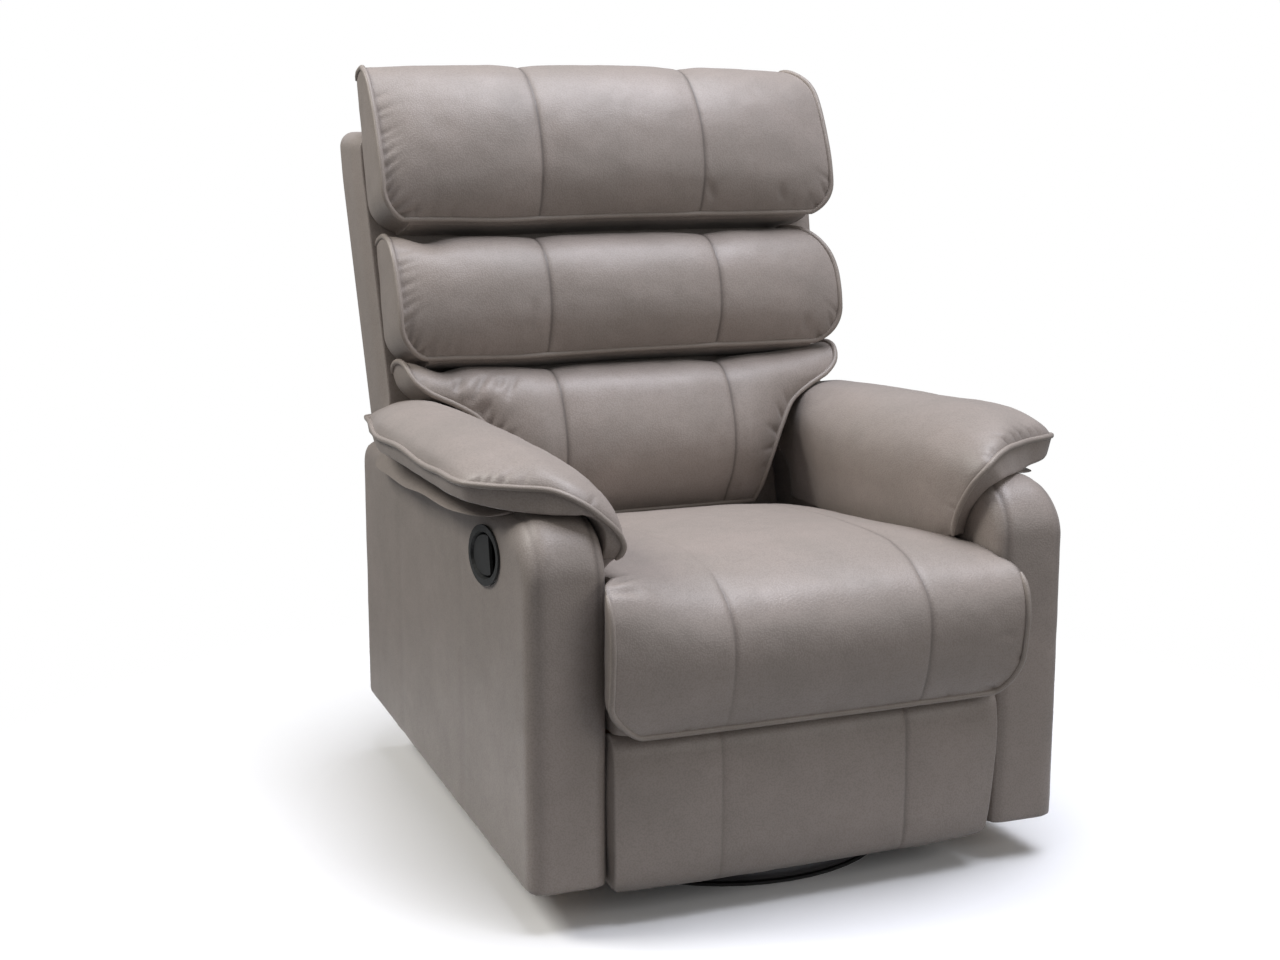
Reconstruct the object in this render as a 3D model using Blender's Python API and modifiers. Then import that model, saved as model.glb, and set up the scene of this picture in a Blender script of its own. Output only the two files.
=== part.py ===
"""Swivel rocker recliner: base, rocker, seat, arms, reclining back, footrest linkage and release."""
import math

import bmesh
import bpy
from mathutils import Matrix
from mathutils import Vector

# Frame: metres, +Z up, the sitter faces -Y, so the sitter's left is +X.
SIDES = (("left", 1), ("right", -1))

# Clearances
FIT = 0.0003
RUN = 0.0005
LAYER_GAP = 0.0010

# Arms
ARM_SPAN = 0.754
ARM_THICKNESS = 0.104
ARM_FRONT_Y = -0.408
ARM_REAR_Y = 0.387
ARM_TOP_Z = 0.520
ARM_BOTTOM_FRONT_Z = 0.055
ARM_BOTTOM_REAR_Z = 0.094
ARM_WALL = 0.014
ARM_OUTER_SHOULDER = 0.040
ARM_INNER_SHOULDER = 0.030
ARM_FRONT_ROLL = 0.050
ARM_REAR_ROLL = 0.050
ARM_POST = 0.045
ARM_MIDDLE_POST_Y = 0.040

# Arm pads and the leather flaps under their outer edges
PAD_OVERHANG = 0.050
PAD_CROWN = 0.072
PAD_EDGE_RISE = 0.030
PAD_DRAPE = 0.076
PAD_DRAPE_BULGE = 0.033
PAD_REAR_Y = 0.265
PAD_OUTER_SETBACK = 0.108
FLAP_FRONT_Y = -0.285
FLAP_REAR_Y = 0.290
FLAP_REACH = 0.040
FLAP_SLOPE = 23.0
FLAP_THICKNESS = 0.005

# Swivel base
SWIVEL_Y = -0.115
RING_RADIUS = 0.235
RING_TUBE = 0.0125
GLIDE_HEIGHT = 0.004
GLIDE_WIDTH = 0.016
STRAP_WIDTH = 0.040
STRAP_THICKNESS = 0.005
HUB_RADIUS = 0.075
LOWER_PLATE_RADIUS = 0.110
SWIVEL_PLATE = 0.004
BEARING_RADIUS = 0.085
BEARING_WIDTH = 0.016
BEARING_HEIGHT = 0.008
PIN_RADIUS = 0.008
PIN_HEAD_RADIUS = 0.013
PIN_HEAD = 0.004

# Rocker
UPPER_PLATE_WIDTH = 0.200
UPPER_PLATE_FRONT_Y = -0.215
UPPER_PLATE_REAR_Y = 0.050
CROSS_RAIL = 0.020
CROSS_RAIL_FRONT_Y = -0.190
REAR_BAR_Y = 0.020
FRONT_BAR_Y = -0.100
ROCKER_RAIL_INSET = 0.045
ROCKER_RAIL_WIDTH = 0.030
ROCKER_RAIL_HEIGHT = 0.015
ROCKER_RAIL_LENGTH = 0.300
ROCK_Y = -0.060
CAM_GAP = 0.0004
CAM_RADIUS = 0.160
CAM_HEIGHT = 0.0625
CAM_WIDTH = 0.020
CROSS_BAR = 0.025
SPRING_INSET = 0.075
SPRING_RADIUS = 0.018
SPRING_WIRE = 0.0025
SPRING_TURNS = 6
SPRING_POINTS_PER_TURN = 10

# Mechanism plates and seat frame
PLATE_THICKNESS = 0.004
PLATE_FRONT_Y = -0.338
PLATE_TOP_Z = 0.262
PLATE_BOTTOM_Z = 0.226
PLATE_LOBE_MARGIN = 0.012
HINGE_Y = 0.190
HINGE_Z = 0.285
HINGE_EAR = 0.020
HINGE_PIN = 0.006
RAIL_FRONT_Y = -0.357
SIDE_RAIL_THICKNESS = 0.0284
SIDE_RAIL_REAR_Y = 0.170
SIDE_RAIL_BOTTOM_Z = 0.235
END_RAIL_BOTTOM_Z = 0.265
RAIL_TOP_Z = 0.335
END_RAIL_THICKNESS = 0.022
REAR_RAIL_Y = 0.095
DECK_THICKNESS = 0.004

# Seat cushion
SEAT_SIDE_GAP = 0.005
SEAT_REAR_Y = 0.172
SEAT_FRONT_Y = -0.448
SEAT_LIP_Z = 0.251
SEAT_EDGE_Z = 0.424
SEAT_REAR_Z = 0.392
SEAT_FRONT_CROWN = 0.017
SEAT_TOP_CROWN = 0.022
SEAM_X = 0.125
SEAM_WIDTH = 0.012
SEAM_DEPTH = 0.006

# Footrest panel
FOOT_BOTTOM_Z = 0.040
FOOT_TOP_Z = 0.243
FOOT_BOARD_BACK_Y = -0.366
FOOT_BOARD = 0.014
FOOT_BOARD_MARGIN = 0.010
FOOT_PAD_DEPTH = 0.052

# Footrest linkage, with forward distance and height of each pivot
MAIN_PIVOT = (0.318, 0.245)
PANEL_PIVOT_CLOSED = (0.350, 0.140)
PANEL_PIVOT_OPEN = (0.600, 0.335)
PANEL_TURN = math.radians(90)
REAR_PIVOT_Z = 0.240
MAIN_LINK_LENGTH = 0.170
CROSS_LINK_LENGTH = 0.170
CROSS_LINK_TAIL = 0.045
MAIN_LINK_TIP = 0.025
LINK_THICKNESS = 0.004
LINK_HALF_WIDTH = 0.009
LINK_PIN = 0.004
DRIVE_SHAFT = 0.0055
BRACKET_MARGIN = 0.014

# Reclining back, in a leaning frame with depth to the rear and height along the back
BACK_LEAN = math.radians(13.9)
BACK_FOOT_Y = 0.2074
BACK_FOOT_Z = 0.300
SHELL_THICKNESS = 0.095
SHELL_WALL = 0.012
SHELL_EDGE = 0.010
SHELL_SIDE_GAP = 0.011
SHELL_HALF = 0.380
SHELL_WING_HALF = 0.367
SHELL_BOTTOM = -0.140
SHELL_FRONT_BOTTOM = 0.050
SHELL_FLARE_LOW = 0.272
SHELL_FLARE_HIGH = 0.282
SHELL_TOP = 0.700
SHELL_CORNER = 0.050
BACK_FRAME_BOTTOM = 0.030
BACK_FRAME_RAIL = 0.055
BACK_FRAME_MIDDLE = 0.330
BACK_BRACKET_TOP = 0.250
BACK_BRACKET_FRONT = 0.020
BACK_BRACKET_REAR = 0.060

# Back pillows
PILLOW_DEPTH = 0.148
HEADREST_HALF = 0.372
MIDDLE_HALF = 0.366
LUMBAR_HALF = 0.356
PILLOW_SIDE_SHARE = 0.72
PILLOW_GAP = 0.003
HEADREST_TOP = 0.782
HEADREST_BOTTOM = 0.545
MIDDLE_BOTTOM = 0.335
LUMBAR_BOTTOM = 0.095
LUMBAR_LOW_GAP = 0.038
LUMBAR_WAIST_GAP = 0.015
LUMBAR_WAIST = 0.262
LUMBAR_SHOULDER = 0.303

# Release cup and paddle on the sitter's right arm
CUP_Y = -0.2424
CUP_Z = 0.4486
CUP_HALF_LENGTH = 0.062
CUP_HALF_HEIGHT = 0.039
CUP_TILT = math.radians(-9.8)
CUP_FLANGE = 0.003
CUP_DEPTH = 0.025
CUP_WALL = 0.003
CUP_RIM = 0.0085
CUP_TAPER = 0.0075
PADDLE_THICKNESS = 0.004
PADDLE_SET_BACK = 0.003
PADDLE_CLEARANCE = 0.0025
PADDLE_HINGE = 0.040
PADDLE_FRONT = -0.018
PADDLE_PIN = 0.002
CABLE_RADIUS = 0.003
CABLE_EXIT_Y = -0.100
CABLE_EXIT_Z = 0.200

# Worked out from the sizes above
arm_out = ARM_SPAN / 2
arm_in = arm_out - ARM_THICKNESS
arm_middle = (arm_in + arm_out) / 2
rail_high_x = arm_in - FIT
rail_low_x = rail_high_x - SIDE_RAIL_THICKNESS
plate_outer_x = rail_low_x - FIT
plate_inner_x = plate_outer_x - PLATE_THICKNESS
rocker_rail_x = plate_inner_x - ROCKER_RAIL_INSET
ring_z = GLIDE_HEIGHT + FIT + RING_TUBE
strap_z = ring_z + RING_TUBE + FIT
lower_plate_z = strap_z + STRAP_THICKNESS + FIT
bearing_z = lower_plate_z + SWIVEL_PLATE + FIT
upper_plate_z = bearing_z + BEARING_HEIGHT + FIT
cross_rail_z = upper_plate_z + SWIVEL_PLATE + FIT
rocker_rail_z = cross_rail_z + CROSS_RAIL + FIT
cam_bottom_z = rocker_rail_z + ROCKER_RAIL_HEIGHT + CAM_GAP
rock_z = cam_bottom_z + CAM_RADIUS
cam_top_z = cam_bottom_z + CAM_HEIGHT
cross_bar_z = cam_top_z + FIT
deck_z = RAIL_TOP_Z + FIT
seat_bottom_z = deck_z + DECK_THICKNESS + FIT
seat_half = arm_in - SEAT_SIDE_GAP
board_front_y = FOOT_BOARD_BACK_Y - FOOT_BOARD


# Scene, collections and materials
for old in list(bpy.data.objects):
    bpy.data.objects.remove(old, do_unlink=True)
parts = bpy.data.collections.new("swivel_rocker_recliner")
bpy.context.scene.collection.children.link(parts)
cutters = bpy.data.collections.new("cutters")
bpy.context.scene.collection.children.link(cutters)


def material(name, colour, roughness, metallic):
    made = bpy.data.materials.new(name)
    made.use_nodes = True
    shader = made.node_tree.nodes["Principled BSDF"]
    shader.inputs["Base Color"].default_value = (*colour, 1.0)
    shader.inputs["Roughness"].default_value = roughness
    shader.inputs["Metallic"].default_value = metallic
    return made


LEATHER = material("taupe_leatherette", (0.225, 0.185, 0.165), 0.45, 0.0)
BLACK_STEEL = material("black_steel", (0.012, 0.012, 0.013), 0.35, 0.6)
ZINC_STEEL = material("zinc_steel", (0.42, 0.42, 0.43), 0.40, 0.9)
SPRING_STEEL = material("spring_steel", (0.20, 0.20, 0.21), 0.35, 0.9)
TIMBER = material("timber", (0.50, 0.34, 0.19), 0.70, 0.0)
DECK_CLOTH = material("deck_cloth", (0.03, 0.03, 0.03), 0.90, 0.0)
BLACK_PLASTIC = material("black_plastic", (0.016, 0.017, 0.018), 0.40, 0.0)


# Modelling helpers
def place(name, shape, finish, pivot=(0.0, 0.0, 0.0)):
    """Turn a bmesh in world places into a named part whose origin is on its pivot."""
    bmesh.ops.recalc_face_normals(shape, faces=shape.faces)
    if shape.calc_volume(signed=True) < 0:
        bmesh.ops.reverse_faces(shape, faces=shape.faces)
    bmesh.ops.translate(shape, vec=-Vector(pivot), verts=shape.verts)
    mesh = bpy.data.meshes.new(name)
    shape.to_mesh(mesh)
    shape.free()
    mesh.materials.append(finish)
    part = bpy.data.objects.new(name, mesh)
    part.location = pivot
    parts.objects.link(part)
    return part


def as_cutter(part):
    parts.objects.unlink(part)
    cutters.objects.link(part)
    part.hide_render = True
    part.display_type = 'WIRE'
    return part


def combine(part, tool, operation):
    as_cutter(tool)
    joined = part.modifiers.new(operation.lower(), 'BOOLEAN')
    joined.operation = operation
    joined.solver = 'EXACT'
    joined.object = tool


def box_shape(low, high):
    shape = bmesh.new()
    bmesh.ops.create_cube(shape, size=1.0)
    size = [b - a for a, b in zip(low, high)]
    middle = [(a + b) / 2 for a, b in zip(low, high)]
    bmesh.ops.scale(shape, vec=size, verts=shape.verts)
    bmesh.ops.translate(shape, vec=middle, verts=shape.verts)
    return shape


def rod_shape(start, end, radius, segments=16):
    """A round rod with flat ends between two points."""
    start = Vector(start)
    along = Vector(end) - start
    shape = bmesh.new()
    turn = along.to_track_quat('Z', 'Y').to_matrix().to_4x4()
    bmesh.ops.create_cone(shape, cap_ends=True, segments=segments, radius1=radius, radius2=radius,
                          depth=along.length, matrix=Matrix.Translation(start + along / 2) @ turn)
    return shape


def outline_shape(outlines, thickness, edge=0.0):
    """A flat plate in XY from closed outlines, the first outside and the rest holes."""
    curve = bpy.data.curves.new("outline", 'CURVE')
    curve.dimensions = '2D'
    curve.fill_mode = 'BOTH'
    curve.extrude = thickness / 2 - edge
    curve.bevel_depth = edge
    curve.bevel_resolution = 1
    curve.offset = -edge
    for outline in outlines:
        spline = curve.splines.new('POLY')
        spline.points.add(len(outline) - 1)
        for point, (a, b) in zip(spline.points, outline):
            point.co = (a, b, 0.0, 1.0)
        spline.use_cyclic_u = True
    holder = bpy.data.objects.new("outline", curve)
    bpy.context.scene.collection.objects.link(holder)
    seen = holder.evaluated_get(bpy.context.evaluated_depsgraph_get())
    mesh = bpy.data.meshes.new_from_object(seen)
    bpy.data.objects.remove(holder, do_unlink=True)
    bpy.data.curves.remove(curve)
    shape = bmesh.new()
    shape.from_mesh(mesh)
    bpy.data.meshes.remove(mesh)
    bmesh.ops.remove_doubles(shape, verts=shape.verts, dist=1e-6)
    return shape


def side_plate(outlines, x_low, x_high):
    """A plate from outlines in (y, z), standing between two values of x."""
    shape = outline_shape(outlines, x_high - x_low)
    middle = (x_low + x_high) / 2
    for vert in shape.verts:
        a, b, c = vert.co
        vert.co = (middle + c, a, b)
    return shape


def level_plate(outlines, z_low, z_high, centre_y=0.0):
    """A plate from outlines in (x, y), lying between two heights."""
    shape = outline_shape(outlines, z_high - z_low)
    bmesh.ops.translate(shape, vec=(0.0, centre_y, (z_low + z_high) / 2), verts=shape.verts)
    return shape


def circle(centre, radius, count=24):
    steps = [2 * math.pi * k / count for k in range(count)]
    return [(centre[0] + radius * math.cos(a), centre[1] + radius * math.sin(a)) for a in steps]


def arc(centre, radius, start, end, count):
    steps = [math.radians(start + (end - start) * k / count) for k in range(count + 1)]
    return [(centre[0] + radius * math.cos(a), centre[1] + radius * math.sin(a)) for a in steps]


def capsule(first, last, radius):
    """A round-ended bar outline between two points."""
    heading = math.degrees(math.atan2(last[1] - first[1], last[0] - first[0]))
    return arc(last, radius, heading - 90, heading + 90, 8) + arc(first, radius, heading + 90, heading + 270, 8)


def loft(sections):
    """A closed body through equal rings of points, with flat ends."""
    shape = bmesh.new()
    rings = [[shape.verts.new(point) for point in ring] for ring in sections]
    count = len(rings[0])
    for near, far in zip(rings, rings[1:]):
        for k in range(count):
            following = (k + 1) % count
            shape.faces.new((near[k], near[following], far[following], far[k]))
    shape.faces.new(rings[0])
    shape.faces.new(list(reversed(rings[-1])))
    return shape


def cushion(across, up, deep):
    """A cube of two units cut into a grid, ready to be swelled by a formula."""
    shape = bmesh.new()
    bmesh.ops.create_cube(shape, size=2.0)
    for axis, cuts in enumerate((across, deep, up)):
        runs = [e for e in shape.edges if abs((e.verts[0].co - e.verts[1].co)[axis]) > 1e-6]
        bmesh.ops.subdivide_edges(shape, edges=runs, cuts=cuts - 1, use_grid_fill=True)
    return shape


def seam_dip(x):
    """How far the two sewn seams draw a cushion in at a place across it."""
    near = min(abs(x - SEAM_X), abs(x + SEAM_X))
    return SEAM_DEPTH * math.exp(-(near / SEAM_WIDTH) ** 2)


def swell(share, power=4.0):
    """Fullness from 1 in the middle to 0 at the edges."""
    return max(0.0, 1.0 - abs(share) ** power) ** 0.5


def across_places(half):
    """Places across a cushion, close together at its seams and edges."""
    inner = [0.0, SEAM_X * 0.5, SEAM_X - SEAM_WIDTH, SEAM_X, SEAM_X + SEAM_WIDTH]
    span = half - SEAM_X - SEAM_WIDTH
    outer = [SEAM_X + SEAM_WIDTH + span * share for share in (0.35, 0.65, 0.85, 0.95, 1.0)]
    right = inner + outer
    return [-x for x in reversed(right[1:])] + right


# Swivel base
glide_outer = circle((0, 0), RING_RADIUS + GLIDE_WIDTH / 2, 48)
glide_inner = circle((0, 0), RING_RADIUS - GLIDE_WIDTH / 2, 48)
place("floor_glide_ring", level_plate([glide_outer, glide_inner], 0.0, GLIDE_HEIGHT, SWIVEL_Y), BLACK_PLASTIC)

bpy.ops.mesh.primitive_torus_add(major_segments=48, minor_segments=12, major_radius=RING_RADIUS,
                                 minor_radius=RING_TUBE, location=(0.0, SWIVEL_Y, ring_z))
ring = bpy.context.object
ring.name = "base_ring"
ring.data.materials.append(BLACK_STEEL)
for holder in list(ring.users_collection):
    holder.objects.unlink(ring)
parts.objects.link(ring)


def cross_outline():
    """Two crossed straps with a round hub, in one outline."""
    half = STRAP_WIDTH / 2
    lean = math.degrees(math.asin(half / HUB_RADIUS))
    points = []
    for k in range(4):
        heading = 45 + 90 * k
        turn = math.radians(heading)
        for side in (-half, half):
            x = RING_RADIUS * math.cos(turn) - side * math.sin(turn)
            y = RING_RADIUS * math.sin(turn) + side * math.cos(turn)
            points.append((x, y))
        points += arc((0, 0), HUB_RADIUS, heading + lean, heading + 90 - lean, 5)
    return points


place("base_cross", level_plate([cross_outline()], strap_z, strap_z + STRAP_THICKNESS, SWIVEL_Y), BLACK_STEEL)
lower_plate = level_plate([circle((0, 0), LOWER_PLATE_RADIUS, 32)], lower_plate_z, lower_plate_z + SWIVEL_PLATE,
                          SWIVEL_Y)
place("swivel_lower_plate", lower_plate, ZINC_STEEL)
race_outer = circle((0, 0), BEARING_RADIUS + BEARING_WIDTH / 2, 32)
race_inner = circle((0, 0), BEARING_RADIUS - BEARING_WIDTH / 2, 32)
place("swivel_bearing", level_plate([race_outer, race_inner], bearing_z, bearing_z + BEARING_HEIGHT, SWIVEL_Y),
      ZINC_STEEL)


def turned_pin():
    """A headed pivot pin, turned from its half profile with a Screw modifier."""
    foot = bearing_z
    shoulder = upper_plate_z + SWIVEL_PLATE + FIT
    top = shoulder + PIN_HEAD
    profile = [(0.0, top), (PIN_HEAD_RADIUS, top), (PIN_HEAD_RADIUS, shoulder), (PIN_RADIUS, shoulder),
               (PIN_RADIUS, foot), (0.0, foot)]
    mesh = bpy.data.meshes.new("swivel_pin")
    mesh.from_pydata([(x, 0.0, z) for x, z in profile], [(k, k + 1) for k in range(len(profile) - 1)], [])
    mesh.materials.append(ZINC_STEEL)
    pin = bpy.data.objects.new("swivel_pin", mesh)
    pin.location = (0.0, SWIVEL_Y, 0.0)
    parts.objects.link(pin)
    screw = pin.modifiers.new("turn", 'SCREW')
    screw.steps = 24
    screw.render_steps = 24
    screw.use_merge_vertices = True
    screw.merge_threshold = 0.00005


turned_pin()

# Swivel top and rocker rails
SWIVEL_AXIS = (0.0, SWIVEL_Y, upper_plate_z)
half_plate = UPPER_PLATE_WIDTH / 2
plate_edge = [(-half_plate, UPPER_PLATE_FRONT_Y), (half_plate, UPPER_PLATE_FRONT_Y),
              (half_plate, UPPER_PLATE_REAR_Y), (-half_plate, UPPER_PLATE_REAR_Y)]
pin_hole = circle((0, SWIVEL_Y), PIN_RADIUS + RUN, 24)
place("swivel_upper_plate", level_plate([plate_edge, pin_hole], upper_plate_z, upper_plate_z + SWIVEL_PLATE),
      BLACK_STEEL, SWIVEL_AXIS)
rail_reach = rocker_rail_x + ROCKER_RAIL_WIDTH / 2
for label, rail_y in (("front", CROSS_RAIL_FRONT_Y), ("rear", REAR_BAR_Y)):
    rail = box_shape((-rail_reach, rail_y - CROSS_RAIL / 2, cross_rail_z),
                     (rail_reach, rail_y + CROSS_RAIL / 2, cross_rail_z + CROSS_RAIL))
    place("swivel_cross_rail_" + label, rail, BLACK_STEEL, SWIVEL_AXIS)
for label, side in SIDES:
    middle = side * rocker_rail_x
    rail = box_shape((middle - ROCKER_RAIL_WIDTH / 2, ROCK_Y - ROCKER_RAIL_LENGTH / 2, rocker_rail_z),
                     (middle + ROCKER_RAIL_WIDTH / 2, ROCK_Y + ROCKER_RAIL_LENGTH / 2,
                      rocker_rail_z + ROCKER_RAIL_HEIGHT))
    place("rocker_rail_" + label, rail, BLACK_STEEL, SWIVEL_AXIS)


def coil_points(centre_x):
    """The middle line of a rocker spring between the rear rail and the rear cross bar."""
    low = cross_rail_z + CROSS_RAIL + FIT + SPRING_WIRE
    high = cross_bar_z - FIT - SPRING_WIRE
    count = SPRING_TURNS * SPRING_POINTS_PER_TURN
    points = []
    for k in range(count + 1):
        turn = 2 * math.pi * k / SPRING_POINTS_PER_TURN
        x = centre_x + SPRING_RADIUS * math.cos(turn)
        y = REAR_BAR_Y + SPRING_RADIUS * math.sin(turn)
        points.append(Vector((x, y, low + (high - low) * k / count)))
    return points


for label, side in SIDES:
    route = coil_points(side * (rocker_rail_x - SPRING_INSET))
    curve = bpy.data.curves.new("rocker_spring_" + label, 'CURVE')
    curve.dimensions = '3D'
    curve.bevel_depth = SPRING_WIRE
    curve.bevel_resolution = 1
    curve.use_fill_caps = True
    wire = curve.splines.new('POLY')
    wire.points.add(len(route) - 1)
    for point, spot in zip(wire.points, route):
        point.co = (*(spot - Vector(SWIVEL_AXIS)), 1.0)
    curve.materials.append(SPRING_STEEL)
    spring = bpy.data.objects.new("rocker_spring_" + label, curve)
    spring.location = SWIVEL_AXIS
    parts.objects.link(spring)
    apart = SPRING_POINTS_PER_TURN // 2
    nearest = min((a - b).length for k, a in enumerate(route) for b in route[k + apart:])
    print("rocker spring", label, "least gap to itself", round((nearest - 2 * SPRING_WIRE) * 1000, 2), "mm")

# Rocker cams and cross bars
ROCK_AXIS = (0.0, ROCK_Y, rock_z)
cam_spread = math.degrees(math.acos((CAM_RADIUS - CAM_HEIGHT) / CAM_RADIUS))
cam_edge = arc((ROCK_Y, rock_z), CAM_RADIUS, -90 - cam_spread, -90 + cam_spread, 24)
for label, side in SIDES:
    near = side * rocker_rail_x - CAM_WIDTH / 2
    place("rocker_cam_" + label, side_plate([cam_edge], near, near + CAM_WIDTH), BLACK_STEEL, ROCK_AXIS)
bar_reach = plate_inner_x - FIT
for label, bar_y in (("front", FRONT_BAR_Y), ("rear", REAR_BAR_Y)):
    bar = box_shape((-bar_reach, bar_y - CROSS_BAR / 2, cross_bar_z),
                    (bar_reach, bar_y + CROSS_BAR / 2, cross_bar_z + CROSS_BAR))
    place("mechanism_cross_bar_" + label, bar, BLACK_STEEL, ROCK_AXIS)


# Footrest linkage, solved in forward distance and height
def solve_linkage():
    """Pivot places closed, and link turns from closed to open, from the driving lengths."""
    main = Vector(MAIN_PIVOT)

    def knee(target):
        span = Vector(target) - main
        length = span.length
        toward = span / length
        along = (MAIN_LINK_LENGTH ** 2 - CROSS_LINK_LENGTH ** 2 + length ** 2) / (2 * length)
        aside = math.sqrt(MAIN_LINK_LENGTH ** 2 - along ** 2)
        return main + along * toward - aside * Vector((-toward.y, toward.x))

    def beyond(start, end, reach):
        return end + (end - start).normalized() * reach

    def heading(start, end):
        return math.atan2(end.y - start.y, end.x - start.x)

    closed = Vector(PANEL_PIVOT_CLOSED)
    opened = Vector(PANEL_PIVOT_OPEN)
    knee_closed = knee(closed)
    knee_open = knee(opened)
    tail_closed = beyond(closed, knee_closed, CROSS_LINK_TAIL)
    tail_open = beyond(opened, knee_open, CROSS_LINK_TAIL)
    tip_closed = beyond(main, knee_closed, MAIN_LINK_TIP)
    tip_open = beyond(main, knee_open, MAIN_LINK_TIP)
    # the rear link's pivot is as far from the tail closed as open
    middle = (tail_closed + tail_open) / 2
    across = tail_open - tail_closed
    square = Vector((-across.y, across.x))
    rear = middle + square * ((REAR_PIVOT_Z - middle.y) / square.y)
    # the front link is as long closed as open, which sets its pivot's drop on the bracket
    base_closed = closed - tip_closed
    base_open = opened - tip_open
    down_open = Vector((math.sin(PANEL_TURN), -math.cos(PANEL_TURN)))
    drop = (base_open.length_squared - base_closed.length_squared) / (
        2 * (Vector((0.0, -1.0)).dot(base_closed) - down_open.dot(base_open)))
    foot_closed = closed + Vector((0.0, -drop))
    foot_open = opened + down_open * drop
    turns = {
        "main": heading(main, knee_open) - heading(main, knee_closed),
        "cross": heading(knee_open, opened) - heading(knee_closed, closed),
        "rear": heading(rear, tail_open) - heading(rear, tail_closed),
        "front": heading(tip_open, foot_open) - heading(tip_closed, foot_closed),
        "panel": PANEL_TURN,
    }
    places = {"main": main, "knee": knee_closed, "tail": tail_closed, "tip": tip_closed, "rear": rear,
              "panel": closed, "foot": foot_closed}
    return {name: (-spot.x, spot.y) for name, spot in places.items()}, turns


pivot, turns = solve_linkage()
for name, spot in pivot.items():
    print("pivot", name, round(spot[0], 5), round(spot[1], 5))
for name, turn in turns.items():
    print("turn", name, round(math.degrees(turn) % 360, 3))

layer_high = [plate_inner_x - LAYER_GAP - k * (LINK_THICKNESS + LAYER_GAP) for k in range(3)]
layer_low = [high - LINK_THICKNESS for high in layer_high]


def axis_at(name):
    return (0.0, *pivot[name])


def spread(side, low, high):
    """A span of x on the sitter's left, mirrored for the right."""
    return (low, high) if side > 0 else (-high, -low)


def link(name, ends, layer, side, holes, axis):
    """A flat link between two pivots with clearance holes at the named pivots."""
    edge = capsule(pivot[ends[0]], pivot[ends[1]], LINK_HALF_WIDTH)
    cuts = [circle(pivot[hole], radius, 16) for hole, radius in holes]
    shape = side_plate([edge] + cuts, *spread(side, layer_low[layer], layer_high[layer]))
    return place(name, shape, ZINC_STEEL, axis_at(axis))


def add_pin(part, spot, side, low, high, radius=LINK_PIN):
    near, far = spread(side, low, high)
    stub = rod_shape((near, *spot), (far, *spot), radius)
    combine(part, place(part.name + "_pin", stub, ZINC_STEEL), 'UNION')


pin_hole_radius = LINK_PIN + RUN
grip = LINK_THICKNESS / 2
shaft = rod_shape((-plate_outer_x + FIT, *pivot["main"]), (plate_outer_x - FIT, *pivot["main"]), DRIVE_SHAFT)
place("footrest_drive_shaft", shaft, BLACK_STEEL, axis_at("main"))
for label, side in SIDES:
    main_link = link("footrest_main_link_" + label, ("main", "tip"), 0, side,
                     [("main", DRIVE_SHAFT + FIT)], "main")
    add_pin(main_link, pivot["knee"], side, layer_low[1] - RUN, layer_low[0] + grip)
    add_pin(main_link, pivot["tip"], side, layer_low[2] - RUN, layer_low[0] + grip)
    cross_link = link("footrest_cross_link_" + label, ("tail", "panel"), 1, side,
                      [("knee", pin_hole_radius)], "knee")
    add_pin(cross_link, pivot["panel"], side, layer_high[1] - grip, layer_high[0] + RUN)
    add_pin(cross_link, pivot["tail"], side, layer_high[2] + FIT, layer_high[1] - grip)
    rear_link = link("footrest_rear_link_" + label, ("rear", "tail"), 2, side,
                     [("tail", pin_hole_radius)], "rear")
    add_pin(rear_link, pivot["rear"], side, layer_low[2] + grip, plate_outer_x - FIT)
    link("footrest_front_link_" + label, ("tip", "foot"), 2, side,
         [("tip", pin_hole_radius), ("foot", pin_hole_radius)], "tip")
    back_y = FOOT_BOARD_BACK_Y + FIT
    bracket_edge = [(back_y, pivot["foot"][1] - BRACKET_MARGIN), (back_y, pivot["panel"][1] + BRACKET_MARGIN)]
    bracket_edge += arc(pivot["panel"], BRACKET_MARGIN, 90, 0, 5)
    bracket_edge += arc(pivot["foot"], BRACKET_MARGIN, 0, -90, 5)
    bracket_shape = side_plate([bracket_edge, circle(pivot["panel"], pin_hole_radius, 16)],
                               *spread(side, layer_low[0], layer_high[0]))
    bracket = place("footrest_bracket_" + label, bracket_shape, ZINC_STEEL, axis_at("panel"))
    add_pin(bracket, pivot["foot"], side, layer_high[2] + FIT, layer_low[0] + grip)


# Mechanism plates
def mechanism_edge():
    ear = (HINGE_Y, HINGE_Z)
    lobe_front = FRONT_BAR_Y - CROSS_BAR / 2 - PLATE_LOBE_MARGIN
    lobe_rear = REAR_BAR_Y + CROSS_BAR / 2 + PLATE_LOBE_MARGIN
    slope = PLATE_BOTTOM_Z - cross_bar_z
    edge = [(PLATE_FRONT_Y, PLATE_TOP_Z), (PLATE_FRONT_Y, PLATE_BOTTOM_Z), (lobe_front - slope / 2, PLATE_BOTTOM_Z),
            (lobe_front, cross_bar_z), (lobe_rear, cross_bar_z), (lobe_rear + slope / 2, PLATE_BOTTOM_Z)]
    edge += arc(ear, HINGE_EAR, -70, 130, 8)
    edge.append((REAR_RAIL_Y + END_RAIL_THICKNESS, PLATE_TOP_Z))
    return edge


for label, side in SIDES:
    holes = [circle(pivot["main"], DRIVE_SHAFT + RUN, 20), circle(pivot["rear"], pin_hole_radius, 16),
             circle((HINGE_Y, HINGE_Z), HINGE_PIN + RUN, 16)]
    shape = side_plate([mechanism_edge()] + holes, *spread(side, plate_inner_x, plate_outer_x))
    place("mechanism_plate_" + label, shape, ZINC_STEEL, ROCK_AXIS)

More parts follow.
